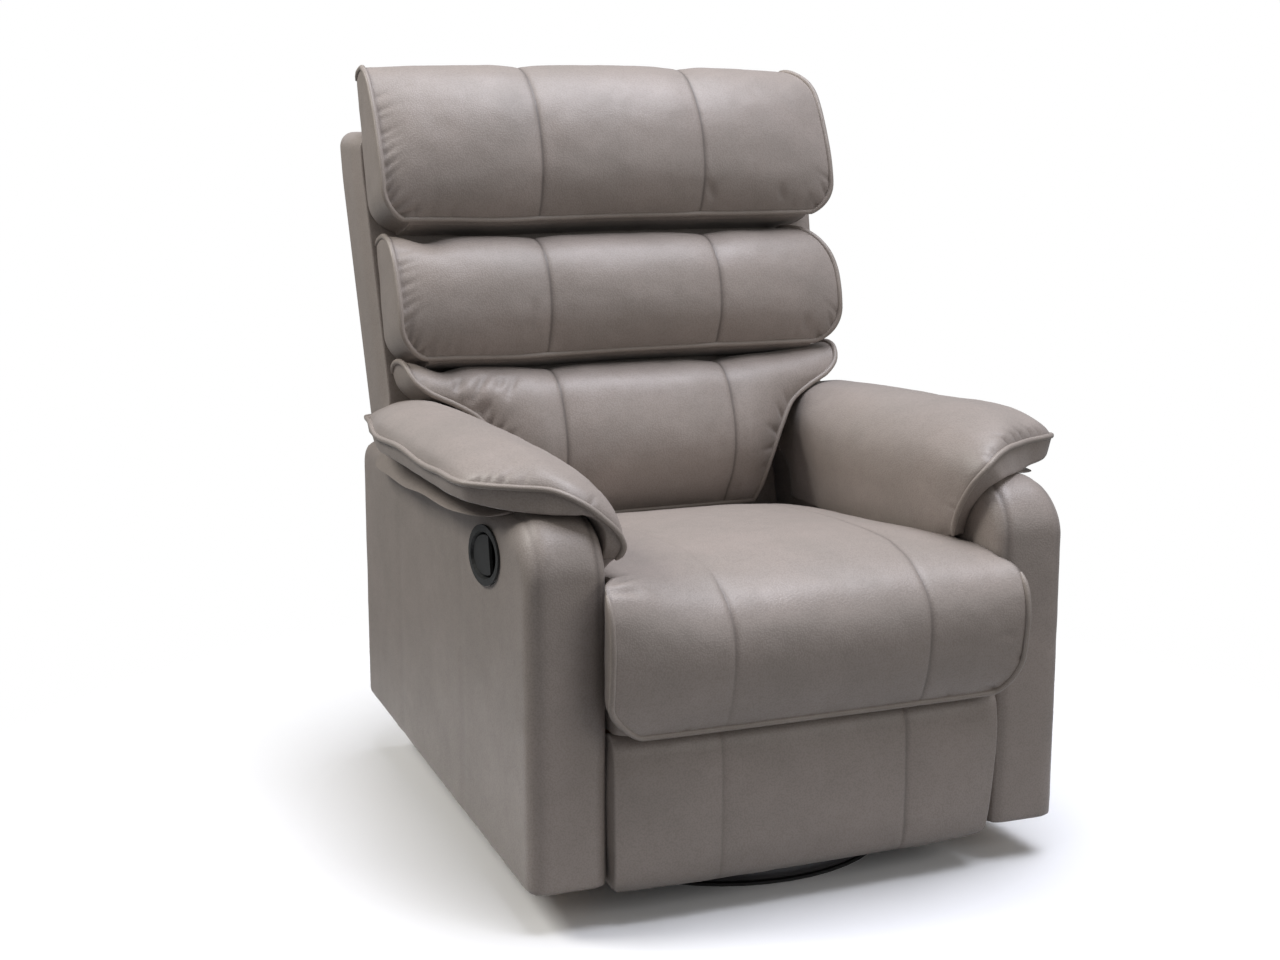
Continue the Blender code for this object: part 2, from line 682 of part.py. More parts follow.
# Seat frame and deck
for label, side in SIDES:
    x_low, x_high = spread(side, rail_low_x, rail_high_x)
    rail = box_shape((x_low, RAIL_FRONT_Y, SIDE_RAIL_BOTTOM_Z), (x_high, SIDE_RAIL_REAR_Y, RAIL_TOP_Z))
    place("seat_side_rail_" + label, rail, TIMBER, ROCK_AXIS)
end_reach = rail_low_x - FIT
for label, rail_y in (("front", RAIL_FRONT_Y), ("rear", REAR_RAIL_Y)):
    rail = box_shape((-end_reach, rail_y, END_RAIL_BOTTOM_Z), (end_reach, rail_y + END_RAIL_THICKNESS, RAIL_TOP_Z))
    place("seat_%s_rail" % label, rail, TIMBER, ROCK_AXIS)
deck = box_shape((-rail_high_x, RAIL_FRONT_Y, deck_z),
                 (rail_high_x, REAR_RAIL_Y + END_RAIL_THICKNESS, deck_z + DECK_THICKNESS))
place("seat_deck", deck, DECK_CLOTH, ROCK_AXIS)


# Seat cushion with its rolled front
def seat_section(x):
    """The seat's side outline at one place across, fuller in the middle and drawn in at the sides and seams."""
    full = swell(x / seat_half, 6.0)
    top = SEAT_TOP_CROWN * full - seam_dip(x)
    nose = SEAT_FRONT_CROWN * full - seam_dip(x)
    inner_y = RAIL_FRONT_Y - FIT
    rise = SEAT_EDGE_Z - SEAT_LIP_Z
    run = inner_y - SEAT_FRONT_Y
    roll = 0.075
    outline = [(SEAT_REAR_Y, seat_bottom_z), (SEAT_REAR_Y, SEAT_REAR_Z + top * 0.4)]
    for share in (0.14, 0.30, 0.48, 0.66, 0.82):
        y = SEAT_REAR_Y + (SEAT_FRONT_Y + roll - SEAT_REAR_Y) * share
        z = SEAT_REAR_Z + (SEAT_EDGE_Z - SEAT_REAR_Z) * min(1.0, share * 1.9) + top * min(1.0, 0.5 + share)
        outline.append((y, z))
    for angle in (90, 66, 42, 20, 0):
        turn = math.radians(angle)
        y = SEAT_FRONT_Y + roll - (roll + nose) * math.cos(turn)
        z = SEAT_EDGE_Z - roll + (roll + top) * math.sin(turn)
        outline.append((y, z))
    outline.append((SEAT_FRONT_Y - nose, SEAT_LIP_Z + rise * 0.38))
    outline.append((SEAT_FRONT_Y - nose * 0.85, SEAT_LIP_Z + rise * 0.18))
    outline.append((SEAT_FRONT_Y - nose * 0.35, SEAT_LIP_Z + rise * 0.05))
    outline.append((SEAT_FRONT_Y + run * 0.15, SEAT_LIP_Z))
    outline.append((SEAT_FRONT_Y + run * 0.75, SEAT_LIP_Z))
    outline.append((inner_y, SEAT_LIP_Z + rise * 0.06))
    outline.append((inner_y, seat_bottom_z))
    return [(x, y, z) for y, z in outline]


place("seat_cushion", loft([seat_section(x) for x in across_places(seat_half)]), LEATHER, ROCK_AXIS)


# Arms: a padded cover over a timber frame
def arm_bottom(y):
    share = (y - ARM_FRONT_Y) / (ARM_REAR_Y - ARM_FRONT_Y)
    return ARM_BOTTOM_FRONT_Z + (ARM_BOTTOM_REAR_Z - ARM_BOTTOM_FRONT_Z) * share


def outer_shoulder(top, gap):
    """The rounded outer edge of an arm's top, or a line that far clear of it."""
    centre = (arm_out - ARM_OUTER_SHOULDER, top - ARM_OUTER_SHOULDER)
    return arc(centre, ARM_OUTER_SHOULDER + gap, 0, 90, 5)


def arm_section(y, side):
    """The arm's rounded cross-section at one place along it, lower where its ends roll over."""
    top = ARM_TOP_Z
    for roll, inside in ((ARM_FRONT_ROLL, y - ARM_FRONT_Y), (ARM_REAR_ROLL, ARM_REAR_Y - y)):
        beyond = max(0.0, roll - inside)
        top -= roll - math.sqrt(roll ** 2 - beyond ** 2)
    inner = (arm_in + ARM_INNER_SHOULDER, top - ARM_INNER_SHOULDER)
    ring = [(arm_in, arm_bottom(y)), (arm_out, arm_bottom(y))]
    ring += outer_shoulder(top, 0.0)
    ring += arc(inner, ARM_INNER_SHOULDER, 90, 180, 4)
    return [(side * x, y, z) for x, z in ring]


def arm_hollow_edge(inset, below):
    """The side outline of the arm's hollow, or of the frame in it."""
    front = ARM_FRONT_Y + ARM_WALL + inset
    rear = ARM_REAR_Y - ARM_WALL - inset
    top = ARM_TOP_Z - ARM_WALL - inset
    low_front = arm_bottom(front) - below
    low_rear = arm_bottom(rear) - below
    return [(front, low_front), (rear, low_rear), (rear, top - ARM_REAR_ROLL), (rear - ARM_REAR_ROLL, top),
            (front + ARM_FRONT_ROLL, top), (front, top - ARM_FRONT_ROLL)]


def cup_ring(long_half, high_half, x, count=28):
    """An oval ring of the release cup at one depth."""
    ring = []
    for k in range(count):
        turn = 2 * math.pi * k / count
        along = long_half * math.cos(turn)
        up = high_half * math.sin(turn)
        y = CUP_Y + along * math.cos(CUP_TILT) - up * math.sin(CUP_TILT)
        z = CUP_Z + along * math.sin(CUP_TILT) + up * math.cos(CUP_TILT)
        ring.append((x, y, z))
    return ring


cup_back_half = (CUP_HALF_LENGTH - CUP_RIM + CUP_WALL, CUP_HALF_HEIGHT - CUP_RIM + CUP_WALL)
hollow_low_x = arm_in + ARM_WALL
hollow_high_x = arm_out - ARM_WALL
roll_steps = [1 - math.cos(math.radians(angle)) for angle in (0, 18, 36, 54, 72, 90)]
arm_stations = [ARM_FRONT_Y + ARM_FRONT_ROLL * step for step in roll_steps]
arm_stations += [ARM_REAR_Y - ARM_REAR_ROLL * step for step in reversed(roll_steps)]
for label, side in SIDES:
    cover = place("arm_cover_" + label, loft([arm_section(y, side) for y in arm_stations]),
                  LEATHER, ROCK_AXIS)
    hollow = side_plate([arm_hollow_edge(0.0, ARM_WALL)], *spread(side, hollow_low_x, hollow_high_x))
    combine(cover, place("arm_hollow_" + label, hollow, LEATHER), 'DIFFERENCE')
    frame_edge = arm_hollow_edge(FIT, -FIT)
    front_y = frame_edge[0][0] + ARM_POST
    rear_y = frame_edge[1][0] - ARM_POST
    high_z = frame_edge[3][1] - ARM_POST
    windows = []
    for near, far in ((front_y, ARM_MIDDLE_POST_Y - ARM_POST / 2), (ARM_MIDDLE_POST_Y + ARM_POST / 2, rear_y)):
        windows.append([(near, arm_bottom(near) + ARM_POST), (far, arm_bottom(far) + ARM_POST),
                        (far, high_z - (ARM_REAR_ROLL if far == rear_y else 0.0)), (near, high_z)])
    frame = side_plate([frame_edge] + windows, *spread(side, hollow_low_x + FIT, hollow_high_x - FIT))
    arm_frame = place("arm_frame_" + label, frame, TIMBER, ROCK_AXIS)
    if label == "right":
        opening = loft([cup_ring(cup_back_half[0] + FIT, cup_back_half[1] + FIT, x)
                        for x in (-arm_out - ARM_WALL, -hollow_high_x + FIT)])
        combine(cover, place("cup_opening", opening, LEATHER), 'DIFFERENCE')
        pocket = loft([cup_ring(cup_back_half[0] + RUN, cup_back_half[1] + RUN, x)
                       for x in (-arm_out - ARM_WALL, -arm_out + CUP_DEPTH + CUP_WALL)])
        combine(arm_frame, place("cup_pocket", pocket, TIMBER), 'DIFFERENCE')
        exit_hole = rod_shape((-hollow_low_x - ARM_WALL, CABLE_EXIT_Y, CABLE_EXIT_Z),
                              (-arm_in + ARM_WALL, CABLE_EXIT_Y, CABLE_EXIT_Z), CABLE_RADIUS + RUN)
        combine(cover, place("cable_opening", exit_hole, LEATHER), 'DIFFERENCE')


# Arm pads: pillow tops that overhang the outer face and drape over the inner one
def pad_section(share, side):
    """One cross-section of an arm pad, from its front edge at 0 to its rear edge at 1."""
    ends = 0.42 + 0.58 * swell(2 * share - 1, 5.0)
    inner_front = ARM_FRONT_Y
    middle_y = inner_front + (PAD_REAR_Y - inner_front) * share
    rear_fade = 1.0 - min(1.0, max(0.0, (middle_y + 0.06) / 0.12))
    bulge = PAD_DRAPE_BULGE * (0.12 + 0.88 * rear_fade) * ends
    under = ARM_TOP_Z + FIT
    face = arm_in - FIT
    hang = ARM_TOP_Z - PAD_DRAPE * (0.55 + 0.45 * rear_fade)
    tip_x = arm_out + PAD_OVERHANG * (0.35 + 0.65 * swell(max(0.0, 2 * share - 1), 2.0))
    tip_z = under + PAD_EDGE_RISE
    crown = PAD_CROWN * ends
    ring = [(face, hang)]
    corner = (arm_in + ARM_INNER_SHOULDER, ARM_TOP_Z - ARM_INNER_SHOULDER)
    ring += arc(corner, ARM_INNER_SHOULDER + RUN, 180, 90, 4)
    ring += [(arm_out - ARM_OUTER_SHOULDER, under), (arm_out, under + 0.004), (tip_x - 0.018, tip_z - 0.012)]
    ring += [(tip_x, tip_z), (tip_x - 0.008, tip_z + 0.30 * (crown - PAD_EDGE_RISE) + 0.006)]
    ring += [(arm_out - 0.010, under + crown * 0.86), (arm_out - 0.045, under + crown)]
    ring += [(arm_in + 0.030, under + crown * 0.97), (arm_in + 0.002, under + crown * 0.74)]
    ring += [(face - bulge * 0.72, under + crown * 0.36), (face - bulge, under - (under - hang) * 0.30)]
    ring += [(face - bulge * 0.86, under - (under - hang) * 0.72), (face - bulge * 0.35, hang - 0.004)]
    section = []
    for x, z in ring:
        setback = PAD_OUTER_SETBACK * min(1.0, max(0.0, (x - arm_in) / (tip_x - arm_in)))
        front = inner_front + setback
        section.append((side * x, front + (PAD_REAR_Y - front) * share, z))
    return section


def flap_section(share, side):
    """One cross-section of the thin flap on an arm's outer shoulder, under the pad's edge."""
    y = FLAP_FRONT_Y + (FLAP_REAR_Y - FLAP_FRONT_Y) * share
    reach = FLAP_REACH * (0.20 + 0.80 * swell(2 * share - 1, 3.0))
    low, high = outer_shoulder(ARM_TOP_Z, FIT)[2:4]
    slope = math.radians(FLAP_SLOPE)
    edge_x = (low[0] + high[0]) / 2 + reach * math.cos(slope)
    edge_z = (low[1] + high[1]) / 2 - reach * math.sin(slope)
    lift_x = math.sin(slope) * FLAP_THICKNESS / 2
    lift_z = math.cos(slope) * FLAP_THICKNESS / 2
    ring = [high, (edge_x + lift_x, edge_z + lift_z), (edge_x - lift_x, edge_z - lift_z), low]
    return [(side * x, y, z) for x, z in ring]


pad_shares = (0.0, 0.03, 0.10, 0.22, 0.36, 0.48, 0.60, 0.70, 0.82, 0.92, 0.98, 1.0)
flap_shares = (0.0, 0.05, 0.15, 0.32, 0.5, 0.68, 0.85, 0.95, 1.0)
for label, side in SIDES:
    place("arm_pad_" + label, loft([pad_section(share, side) for share in pad_shares]), LEATHER, ROCK_AXIS)
    place("arm_flap_" + label, loft([flap_section(share, side) for share in flap_shares]), LEATHER, ROCK_AXIS)

# Release cup, paddle and cable
rim_x = -(arm_out + FIT + CUP_FLANGE)
flange_back_x = -(arm_out + FIT)
floor_x = rim_x + CUP_DEPTH
back_x = floor_x + CUP_WALL
mouth_half = (CUP_HALF_LENGTH - CUP_RIM, CUP_HALF_HEIGHT - CUP_RIM)
cup_rings = [
    cup_ring(mouth_half[0] - CUP_TAPER, mouth_half[1] - CUP_TAPER, floor_x),
    cup_ring(mouth_half[0], mouth_half[1], rim_x),
    cup_ring(CUP_HALF_LENGTH, CUP_HALF_HEIGHT, rim_x),
    cup_ring(CUP_HALF_LENGTH, CUP_HALF_HEIGHT, flange_back_x),
    cup_ring(cup_back_half[0], cup_back_half[1], flange_back_x),
    cup_ring(cup_back_half[0] - CUP_TAPER, cup_back_half[1] - CUP_TAPER, back_x),
]
place("release_cup", loft(cup_rings), BLACK_PLASTIC, ROCK_AXIS)


def cup_spot(along, up, x):
    y = CUP_Y + along * math.cos(CUP_TILT) - up * math.sin(CUP_TILT)
    z = CUP_Z + along * math.sin(CUP_TILT) + up * math.cos(CUP_TILT)
    return (x, y, z)


paddle_x = rim_x + PADDLE_SET_BACK
paddle_back_x = paddle_x + PADDLE_THICKNESS
taper_at_paddle = CUP_TAPER * (PADDLE_SET_BACK + PADDLE_THICKNESS) / CUP_DEPTH
paddle_half = [half - taper_at_paddle - PADDLE_CLEARANCE for half in mouth_half]
limit = math.acos(PADDLE_FRONT / paddle_half[0])
paddle_edge = []
for k in range(17):
    turn = -limit + 2 * limit * k / 16
    paddle_edge.append((paddle_half[0] * math.cos(turn), paddle_half[1] * math.sin(turn)))
paddle_shape = loft([[cup_spot(a, b, x) for a, b in paddle_edge] for x in (paddle_x, paddle_back_x)])
hinge_x = (paddle_x + paddle_back_x) / 2
hinge_reach = (mouth_half[1] - taper_at_paddle) * math.sqrt(
    1 - ((PADDLE_HINGE + PADDLE_PIN) / (mouth_half[0] - taper_at_paddle)) ** 2) - FIT
hinge_spot = cup_spot(PADDLE_HINGE, 0.0, hinge_x)
paddle = place("release_paddle", paddle_shape, BLACK_PLASTIC, hinge_spot)
paddle_pin = rod_shape(cup_spot(PADDLE_HINGE, -hinge_reach, hinge_x), cup_spot(PADDLE_HINGE, hinge_reach, hinge_x),
                       PADDLE_PIN, 12)
combine(paddle, place("release_paddle_pin", paddle_pin, BLACK_PLASTIC), 'UNION')
print("paddle hinge", [round(value, 5) for value in hinge_spot])



def cable_spot(inward, rearward, down):
    """A place in the arm's hollow, in shares of the way from its middle to the wall and from cup to exit."""
    return (-arm_middle + inward * (arm_middle - hollow_low_x), CUP_Y + rearward * (CABLE_EXIT_Y - CUP_Y),
            CUP_Z + down * (CABLE_EXIT_Z - CUP_Z))


cable_knots = [(back_x + FIT, CUP_Y, CUP_Z), (back_x + 0.004, CUP_Y, CUP_Z), (back_x + 0.012, CUP_Y, CUP_Z - 0.004),
               cable_spot(0.0, 0.05, 0.18), cable_spot(0.0, 0.26, 0.52), cable_spot(0.0, 0.65, 0.86),
               cable_spot(0.24, 0.90, 0.976), cable_spot(0.63, 1.0, 1.0), cable_spot(0.95, 1.0, 1.0),
               (-plate_outer_x - FIT, CABLE_EXIT_Y, CABLE_EXIT_Z)]


def smooth_route(knots, steps):
    """Points on a smooth curve through the knots."""
    spots = [Vector(knot) for knot in knots]
    spots = [2 * spots[0] - spots[1]] + spots + [2 * spots[-1] - spots[-2]]
    route = []
    for a, b, c, d in zip(spots, spots[1:], spots[2:], spots[3:]):
        for k in range(steps):
            t = k / steps
            route.append(0.5 * (2 * b + (c - a) * t + (2 * a - 5 * b + 4 * c - d) * t ** 2
                                + (3 * b - a - 3 * c + d) * t ** 3))
    return route + [spots[-2]]


cable_route = smooth_route(cable_knots, 4)
cable_curve = bpy.data.curves.new("release_cable", 'CURVE')
cable_curve.dimensions = '3D'
cable_curve.bevel_depth = CABLE_RADIUS
cable_curve.bevel_resolution = 2
cable_curve.use_fill_caps = True
cable_line = cable_curve.splines.new('POLY')
cable_line.points.add(len(cable_route) - 1)
for point, spot in zip(cable_line.points, cable_route):
    point.co = (*(spot - Vector(ROCK_AXIS)), 1.0)
cable_curve.materials.append(BLACK_PLASTIC)
cable = bpy.data.objects.new("release_cable", cable_curve)
cable.location = ROCK_AXIS
parts.objects.link(cable)

# Footrest board and pad
panel_axis = axis_at("panel")
margin = FOOT_BOARD_MARGIN
board = box_shape((-seat_half + margin, board_front_y, FOOT_BOTTOM_Z + margin),
                  (seat_half - margin, FOOT_BOARD_BACK_Y, FOOT_TOP_Z - margin))
place("footrest_board", board, TIMBER, panel_axis)


def swell_pillow(shape, low, high, depth, half_at, spot):
    """Swell a cut cube into a pillow that is flat at the back, full in front and drawn in at its corners."""
    for vert in shape.verts:
        u, w, v = vert.co
        front = (1 - w) / 2
        v = math.sin(v * math.pi / 2) * 0.35 + v * 0.65
        height = (low + high) / 2 + (high - low) / 2 * v * (1 - 0.06 * abs(u) ** 8)
        x = u * half_at(height) * (1 - 0.03 * abs(v) ** 8)
        sides = PILLOW_SIDE_SHARE + (1 - PILLOW_SIDE_SHARE) * swell(u, 8.0)
        full = sides * (0.30 + 0.70 * swell(v, 2.6))
        out = depth * full - seam_dip(x) * swell(u, 8.0)
        vert.co = spot(x, -out * front, height)


def place_cushion(name, low, high, depth, half_at, spot, axis):
    shape = cushion(22, 8, 2)
    swell_pillow(shape, low, high, depth, half_at, spot)
    place(name, shape, LEATHER, axis)


def foot_spot(x, depth, height):
    return (x, board_front_y - FIT + depth, height)


place_cushion("footrest_pad", FOOT_BOTTOM_Z, FOOT_TOP_Z, FOOT_PAD_DEPTH, lambda height: seat_half, foot_spot,
              panel_axis)


# Reclining back
def back_spot(x, depth, height):
    y = BACK_FOOT_Y + depth * math.cos(BACK_LEAN) + height * math.sin(BACK_LEAN)
    z = BACK_FOOT_Z - depth * math.sin(BACK_LEAN) + height * math.cos(BACK_LEAN)
    return (x, y, z)


def back_plate(outlines, front, rear, edge=0.0):
    """A plate from outlines across and up the back, between two depths."""
    shape = outline_shape(outlines, rear - front, edge)
    middle = (front + rear) / 2
    for vert in shape.verts:
        a, b, c = vert.co
        vert.co = back_spot(a, middle - c, b)
    return shape


def shell_edge(inset, bottom):
    """Half-wide below, between the arms, and full width above them."""
    low = arm_in - SHELL_SIDE_GAP - inset
    wing = SHELL_WING_HALF - inset
    high = SHELL_HALF - inset
    round_off = SHELL_CORNER - inset
    top = SHELL_TOP - inset
    right = [(low, bottom), (low, SHELL_FLARE_LOW + inset), (wing, SHELL_FLARE_HIGH + inset)]
    right += arc((high - round_off, top - round_off), round_off, 0, 90, 6)
    return right + [(-x, z) for x, z in reversed(right)]


RECLINE_AXIS = (0.0, HINGE_Y, HINGE_Z)
shell = place("back_shell", back_plate([shell_edge(0.0, SHELL_BOTTOM)], 0.0, SHELL_THICKNESS, SHELL_EDGE), LEATHER,
              RECLINE_AXIS)
hollow = back_plate([shell_edge(SHELL_WALL, SHELL_BOTTOM - SHELL_WALL)], SHELL_WALL, SHELL_THICKNESS - SHELL_WALL)
combine(shell, place("shell_hollow", hollow, LEATHER), 'DIFFERENCE')
low_front = [(-SHELL_HALF, SHELL_BOTTOM - SHELL_WALL), (SHELL_HALF, SHELL_BOTTOM - SHELL_WALL),
             (SHELL_HALF, SHELL_FRONT_BOTTOM), (-SHELL_HALF, SHELL_FRONT_BOTTOM)]
combine(shell, place("shell_low_front", back_plate([low_front], -SHELL_WALL, SHELL_THICKNESS - SHELL_WALL), LEATHER),
        'DIFFERENCE')

frame_low = layer_low[0] - FIT
frame_high = SHELL_HALF - SHELL_WALL - FIT
frame_wing = SHELL_WING_HALF - SHELL_WALL - FIT
frame_top = SHELL_TOP - SHELL_WALL - FIT
frame_step = SHELL_FLARE_HIGH + SHELL_WALL + FIT
corner = SHELL_CORNER - SHELL_WALL - FIT
half_frame = [(frame_low, BACK_FRAME_BOTTOM), (frame_low, frame_step), (frame_wing, frame_step)]
half_frame += arc((frame_high - corner, frame_top - corner), corner, 0, 90, 6)
frame_outline = half_frame + [(-x, z) for x, z in reversed(half_frame)]
low_window = (frame_low - BACK_FRAME_RAIL, BACK_FRAME_BOTTOM + BACK_FRAME_RAIL, BACK_FRAME_MIDDLE)
high_window = (frame_wing - BACK_FRAME_RAIL, BACK_FRAME_MIDDLE + BACK_FRAME_RAIL, frame_top - BACK_FRAME_RAIL)
frame_windows = [[(-half, low), (half, low), (half, high), (-half, high)]
                 for half, low, high in (low_window, high_window)]
frame_shape = back_plate([frame_outline] + frame_windows, SHELL_WALL + FIT, SHELL_THICKNESS - SHELL_WALL - FIT)
place("back_frame", frame_shape, TIMBER, RECLINE_AXIS)


def bracket_outline():
    """A strap up the side of the back frame with an ear round the recline hinge."""
    rise = HINGE_Z - BACK_FOOT_Z
    run = HINGE_Y - BACK_FOOT_Y
    ear_depth = run * math.cos(BACK_LEAN) - rise * math.sin(BACK_LEAN)
    ear_height = run * math.sin(BACK_LEAN) + rise * math.cos(BACK_LEAN)
    edge = [(BACK_BRACKET_REAR, BACK_FRAME_BOTTOM), (BACK_BRACKET_REAR, BACK_BRACKET_TOP),
            (BACK_BRACKET_FRONT, BACK_BRACKET_TOP), (BACK_BRACKET_FRONT, BACK_FRAME_BOTTOM + HINGE_EAR)]
    edge += arc((ear_depth, ear_height), HINGE_EAR, 120, 300, 8)
    return [back_spot(0.0, depth, height)[1:] for depth, height in edge]


for label, side in SIDES:
    shape = side_plate([bracket_outline()], *spread(side, layer_low[0], layer_high[0]))
    strap = place("back_bracket_" + label, shape, ZINC_STEEL, RECLINE_AXIS)
    add_pin(strap, (HINGE_Y, HINGE_Z), side, layer_high[0] - grip, plate_outer_x - FIT, HINGE_PIN)


# Back pillows
def lumbar_half(height):
    """Full width above the arms, narrow where the pillow goes down between them."""
    waist = arm_in - LUMBAR_WAIST_GAP
    foot = arm_in - LUMBAR_LOW_GAP
    if height >= LUMBAR_SHOULDER:
        return LUMBAR_HALF
    if height >= LUMBAR_WAIST:
        share = (height - LUMBAR_WAIST) / (LUMBAR_SHOULDER - LUMBAR_WAIST)
        return waist + (LUMBAR_HALF - waist) * share ** 2
    share = (height - LUMBAR_BOTTOM) / (LUMBAR_WAIST - LUMBAR_BOTTOM)
    return foot + (waist - foot) * share


def pillow_spot(x, depth, height):
    return back_spot(x, depth - FIT, height)


place_cushion("headrest_pillow", HEADREST_BOTTOM + PILLOW_GAP, HEADREST_TOP, PILLOW_DEPTH,
              lambda height: HEADREST_HALF, pillow_spot, RECLINE_AXIS)
place_cushion("middle_back_pillow", MIDDLE_BOTTOM + PILLOW_GAP, HEADREST_BOTTOM, PILLOW_DEPTH,
              lambda height: MIDDLE_HALF, pillow_spot, RECLINE_AXIS)
place_cushion("lumbar_pillow", LUMBAR_BOTTOM, MIDDLE_BOTTOM, PILLOW_DEPTH, lumbar_half, pillow_spot, RECLINE_AXIS)
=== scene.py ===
import math

import bmesh
import bpy
import numpy as np
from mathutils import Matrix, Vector, noise


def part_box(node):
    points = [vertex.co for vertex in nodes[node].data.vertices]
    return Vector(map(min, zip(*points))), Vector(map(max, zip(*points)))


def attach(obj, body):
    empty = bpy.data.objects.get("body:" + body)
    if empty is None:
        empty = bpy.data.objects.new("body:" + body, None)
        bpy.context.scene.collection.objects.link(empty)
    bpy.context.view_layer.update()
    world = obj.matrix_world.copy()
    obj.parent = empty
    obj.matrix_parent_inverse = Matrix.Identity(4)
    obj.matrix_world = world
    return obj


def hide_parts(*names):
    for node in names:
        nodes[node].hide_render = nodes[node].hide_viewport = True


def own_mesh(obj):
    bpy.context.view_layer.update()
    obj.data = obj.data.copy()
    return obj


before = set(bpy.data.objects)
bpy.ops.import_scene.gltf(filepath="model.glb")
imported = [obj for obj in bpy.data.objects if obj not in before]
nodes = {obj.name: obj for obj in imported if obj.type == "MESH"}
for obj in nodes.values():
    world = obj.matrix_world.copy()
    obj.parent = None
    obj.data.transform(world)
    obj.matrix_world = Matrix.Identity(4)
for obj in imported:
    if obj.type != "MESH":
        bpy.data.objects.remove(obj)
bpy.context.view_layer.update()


# Floor ring and cross straps.
# A round steel tube lies on the floor on a thin plastic glide; two flat straps are welded across it.
# All of it is powder coated black. The tube is bent round and closed with one weld at the rear.

def join(tree, source, target):
    """Links a node's output to an input, or sets the input to a plain value."""
    if isinstance(source, bpy.types.NodeSocket):
        tree.links.new(source, target)
    else:
        target.default_value = source


def texture_node(tree, kind, **values):
    """Adds a node and sets its inputs and options by name."""
    node = tree.nodes.new(kind)
    for name, value in values.items():
        socket = node.inputs.get(name.replace("_", " "))
        if socket is not None:
            socket.default_value = value
        else:
            setattr(node, name, value)
    return node


def blend_colours(tree, factor, first, second):
    """Mixes two colours, each a socket or a plain colour, by a factor."""
    node = tree.nodes.new('ShaderNodeMix')
    node.data_type = 'RGBA'
    for value, socket in ((factor, node.inputs[0]), (first, node.inputs[6]), (second, node.inputs[7])):
        join(tree, value, socket)
    return node.outputs[2]


def reckon(tree, way, first, second):
    """One sum on two values, each a socket or a number."""
    node = tree.nodes.new('ShaderNodeMath')
    node.operation = way
    for value, socket in zip((first, second), node.inputs):
        join(tree, value, socket)
    return node.outputs[0]


def between(tree, value, low, high, new_low, new_high):
    """Stretches a value from one range to another, kept inside it."""
    node = tree.nodes.new('ShaderNodeMapRange')
    for name, number in (("From Min", low), ("From Max", high), ("To Min", new_low), ("To Max", new_high)):
        node.inputs[name].default_value = number
    join(tree, value, node.inputs["Value"])
    return node.outputs["Result"]


def shade(red, green, blue):
    """A colour as seen on a screen, 0 to 255, made linear."""
    def straight(level):
        level /= 255
        return level / 12.92 if level <= 0.04045 else ((level + 0.055) / 1.055) ** 2.4
    return (straight(red), straight(green), straight(blue), 1.0)


def new_finish(name):
    """A new material with its node tree and its shader."""
    material = bpy.data.materials.new(name)
    material.use_nodes = True
    return material, material.node_tree, material.node_tree.nodes["Principled BSDF"]


def raise_relief(tree, shader, height, depth, strength):
    """Fine relief of a finish, by a bump."""
    bump = texture_node(tree, 'ShaderNodeBump', Strength=strength, Distance=depth)
    join(tree, height, bump.inputs["Height"])
    join(tree, bump.outputs["Normal"], shader.inputs["Normal"])


def make_wear_group():
    """Cloudy smudges, fine scratches and a speckle that metal and plastic share."""
    group = bpy.data.node_groups.new("handling_wear", 'ShaderNodeTree')
    group.interface.new_socket("Speckle Size", in_out='INPUT', socket_type='NodeSocketFloat')
    for name in ("Smudge", "Scratch", "Speckle"):
        group.interface.new_socket(name, in_out='OUTPUT', socket_type='NodeSocketFloat')
    given = group.nodes.new('NodeGroupInput')
    handed = group.nodes.new('NodeGroupOutput')
    place = group.nodes.new('ShaderNodeTexCoord')
    smudge = texture_node(group, 'ShaderNodeTexNoise', Scale=14.0, Detail=4.0, Roughness=0.6)
    stretch = texture_node(group, 'ShaderNodeMapping', Scale=(1.0, 22.0, 3.0), Rotation=(0.3, 0.2, 0.5))
    scratch = texture_node(group, 'ShaderNodeTexNoise', Scale=60.0, Detail=2.0)
    speckle = texture_node(group, 'ShaderNodeTexNoise', Detail=1.0)
    join(group, place.outputs["Object"], smudge.inputs["Vector"])
    join(group, place.outputs["Object"], stretch.inputs["Vector"])
    join(group, stretch.outputs["Vector"], scratch.inputs["Vector"])
    join(group, place.outputs["Object"], speckle.inputs["Vector"])
    join(group, given.outputs["Speckle Size"], speckle.inputs["Scale"])
    join(group, smudge.outputs["Fac"], handed.inputs["Smudge"])
    join(group, between(group, scratch.outputs["Fac"], 0.62, 0.74, 0.0, 1.0), handed.inputs["Scratch"])
    join(group, speckle.outputs["Fac"], handed.inputs["Speckle"])
    return group


wear_group = make_wear_group()


def worn_finish(name, colour, rubbed, roughness, metallic, speckle_size, relief):
    """A painted, plated or moulded surface with smudges, fine scratches and a speckled skin."""
    material, tree, shader = new_finish(name)
    wear = texture_node(tree, 'ShaderNodeGroup', node_tree=wear_group)
    wear.inputs["Speckle Size"].default_value = speckle_size
    cloudy = between(tree, wear.outputs["Smudge"], 0.3, 0.7, 0.0, 0.45)
    toned = blend_colours(tree, cloudy, colour, rubbed)
    marks = reckon(tree, 'MULTIPLY', wear.outputs["Scratch"], 0.35)
    join(tree, blend_colours(tree, marks, toned, rubbed), shader.inputs["Base Color"])
    join(tree, between(tree, wear.outputs["Smudge"], 0.3, 0.7, roughness - 0.06, roughness + 0.10),
         shader.inputs["Roughness"])
    shader.inputs["Metallic"].default_value = metallic
    raise_relief(tree, shader, wear.outputs["Speckle"], relief, 0.4)
    return material


black_powder_coat = worn_finish("black_powder_coat", shade(40, 39, 41), shade(72, 70, 72), 0.35, 0.0, 900.0,
                                0.0002)
ring_plastic = worn_finish("glide_plastic", shade(20, 20, 21), shade(44, 43, 42), 0.55, 0.0, 400.0, 0.0001)


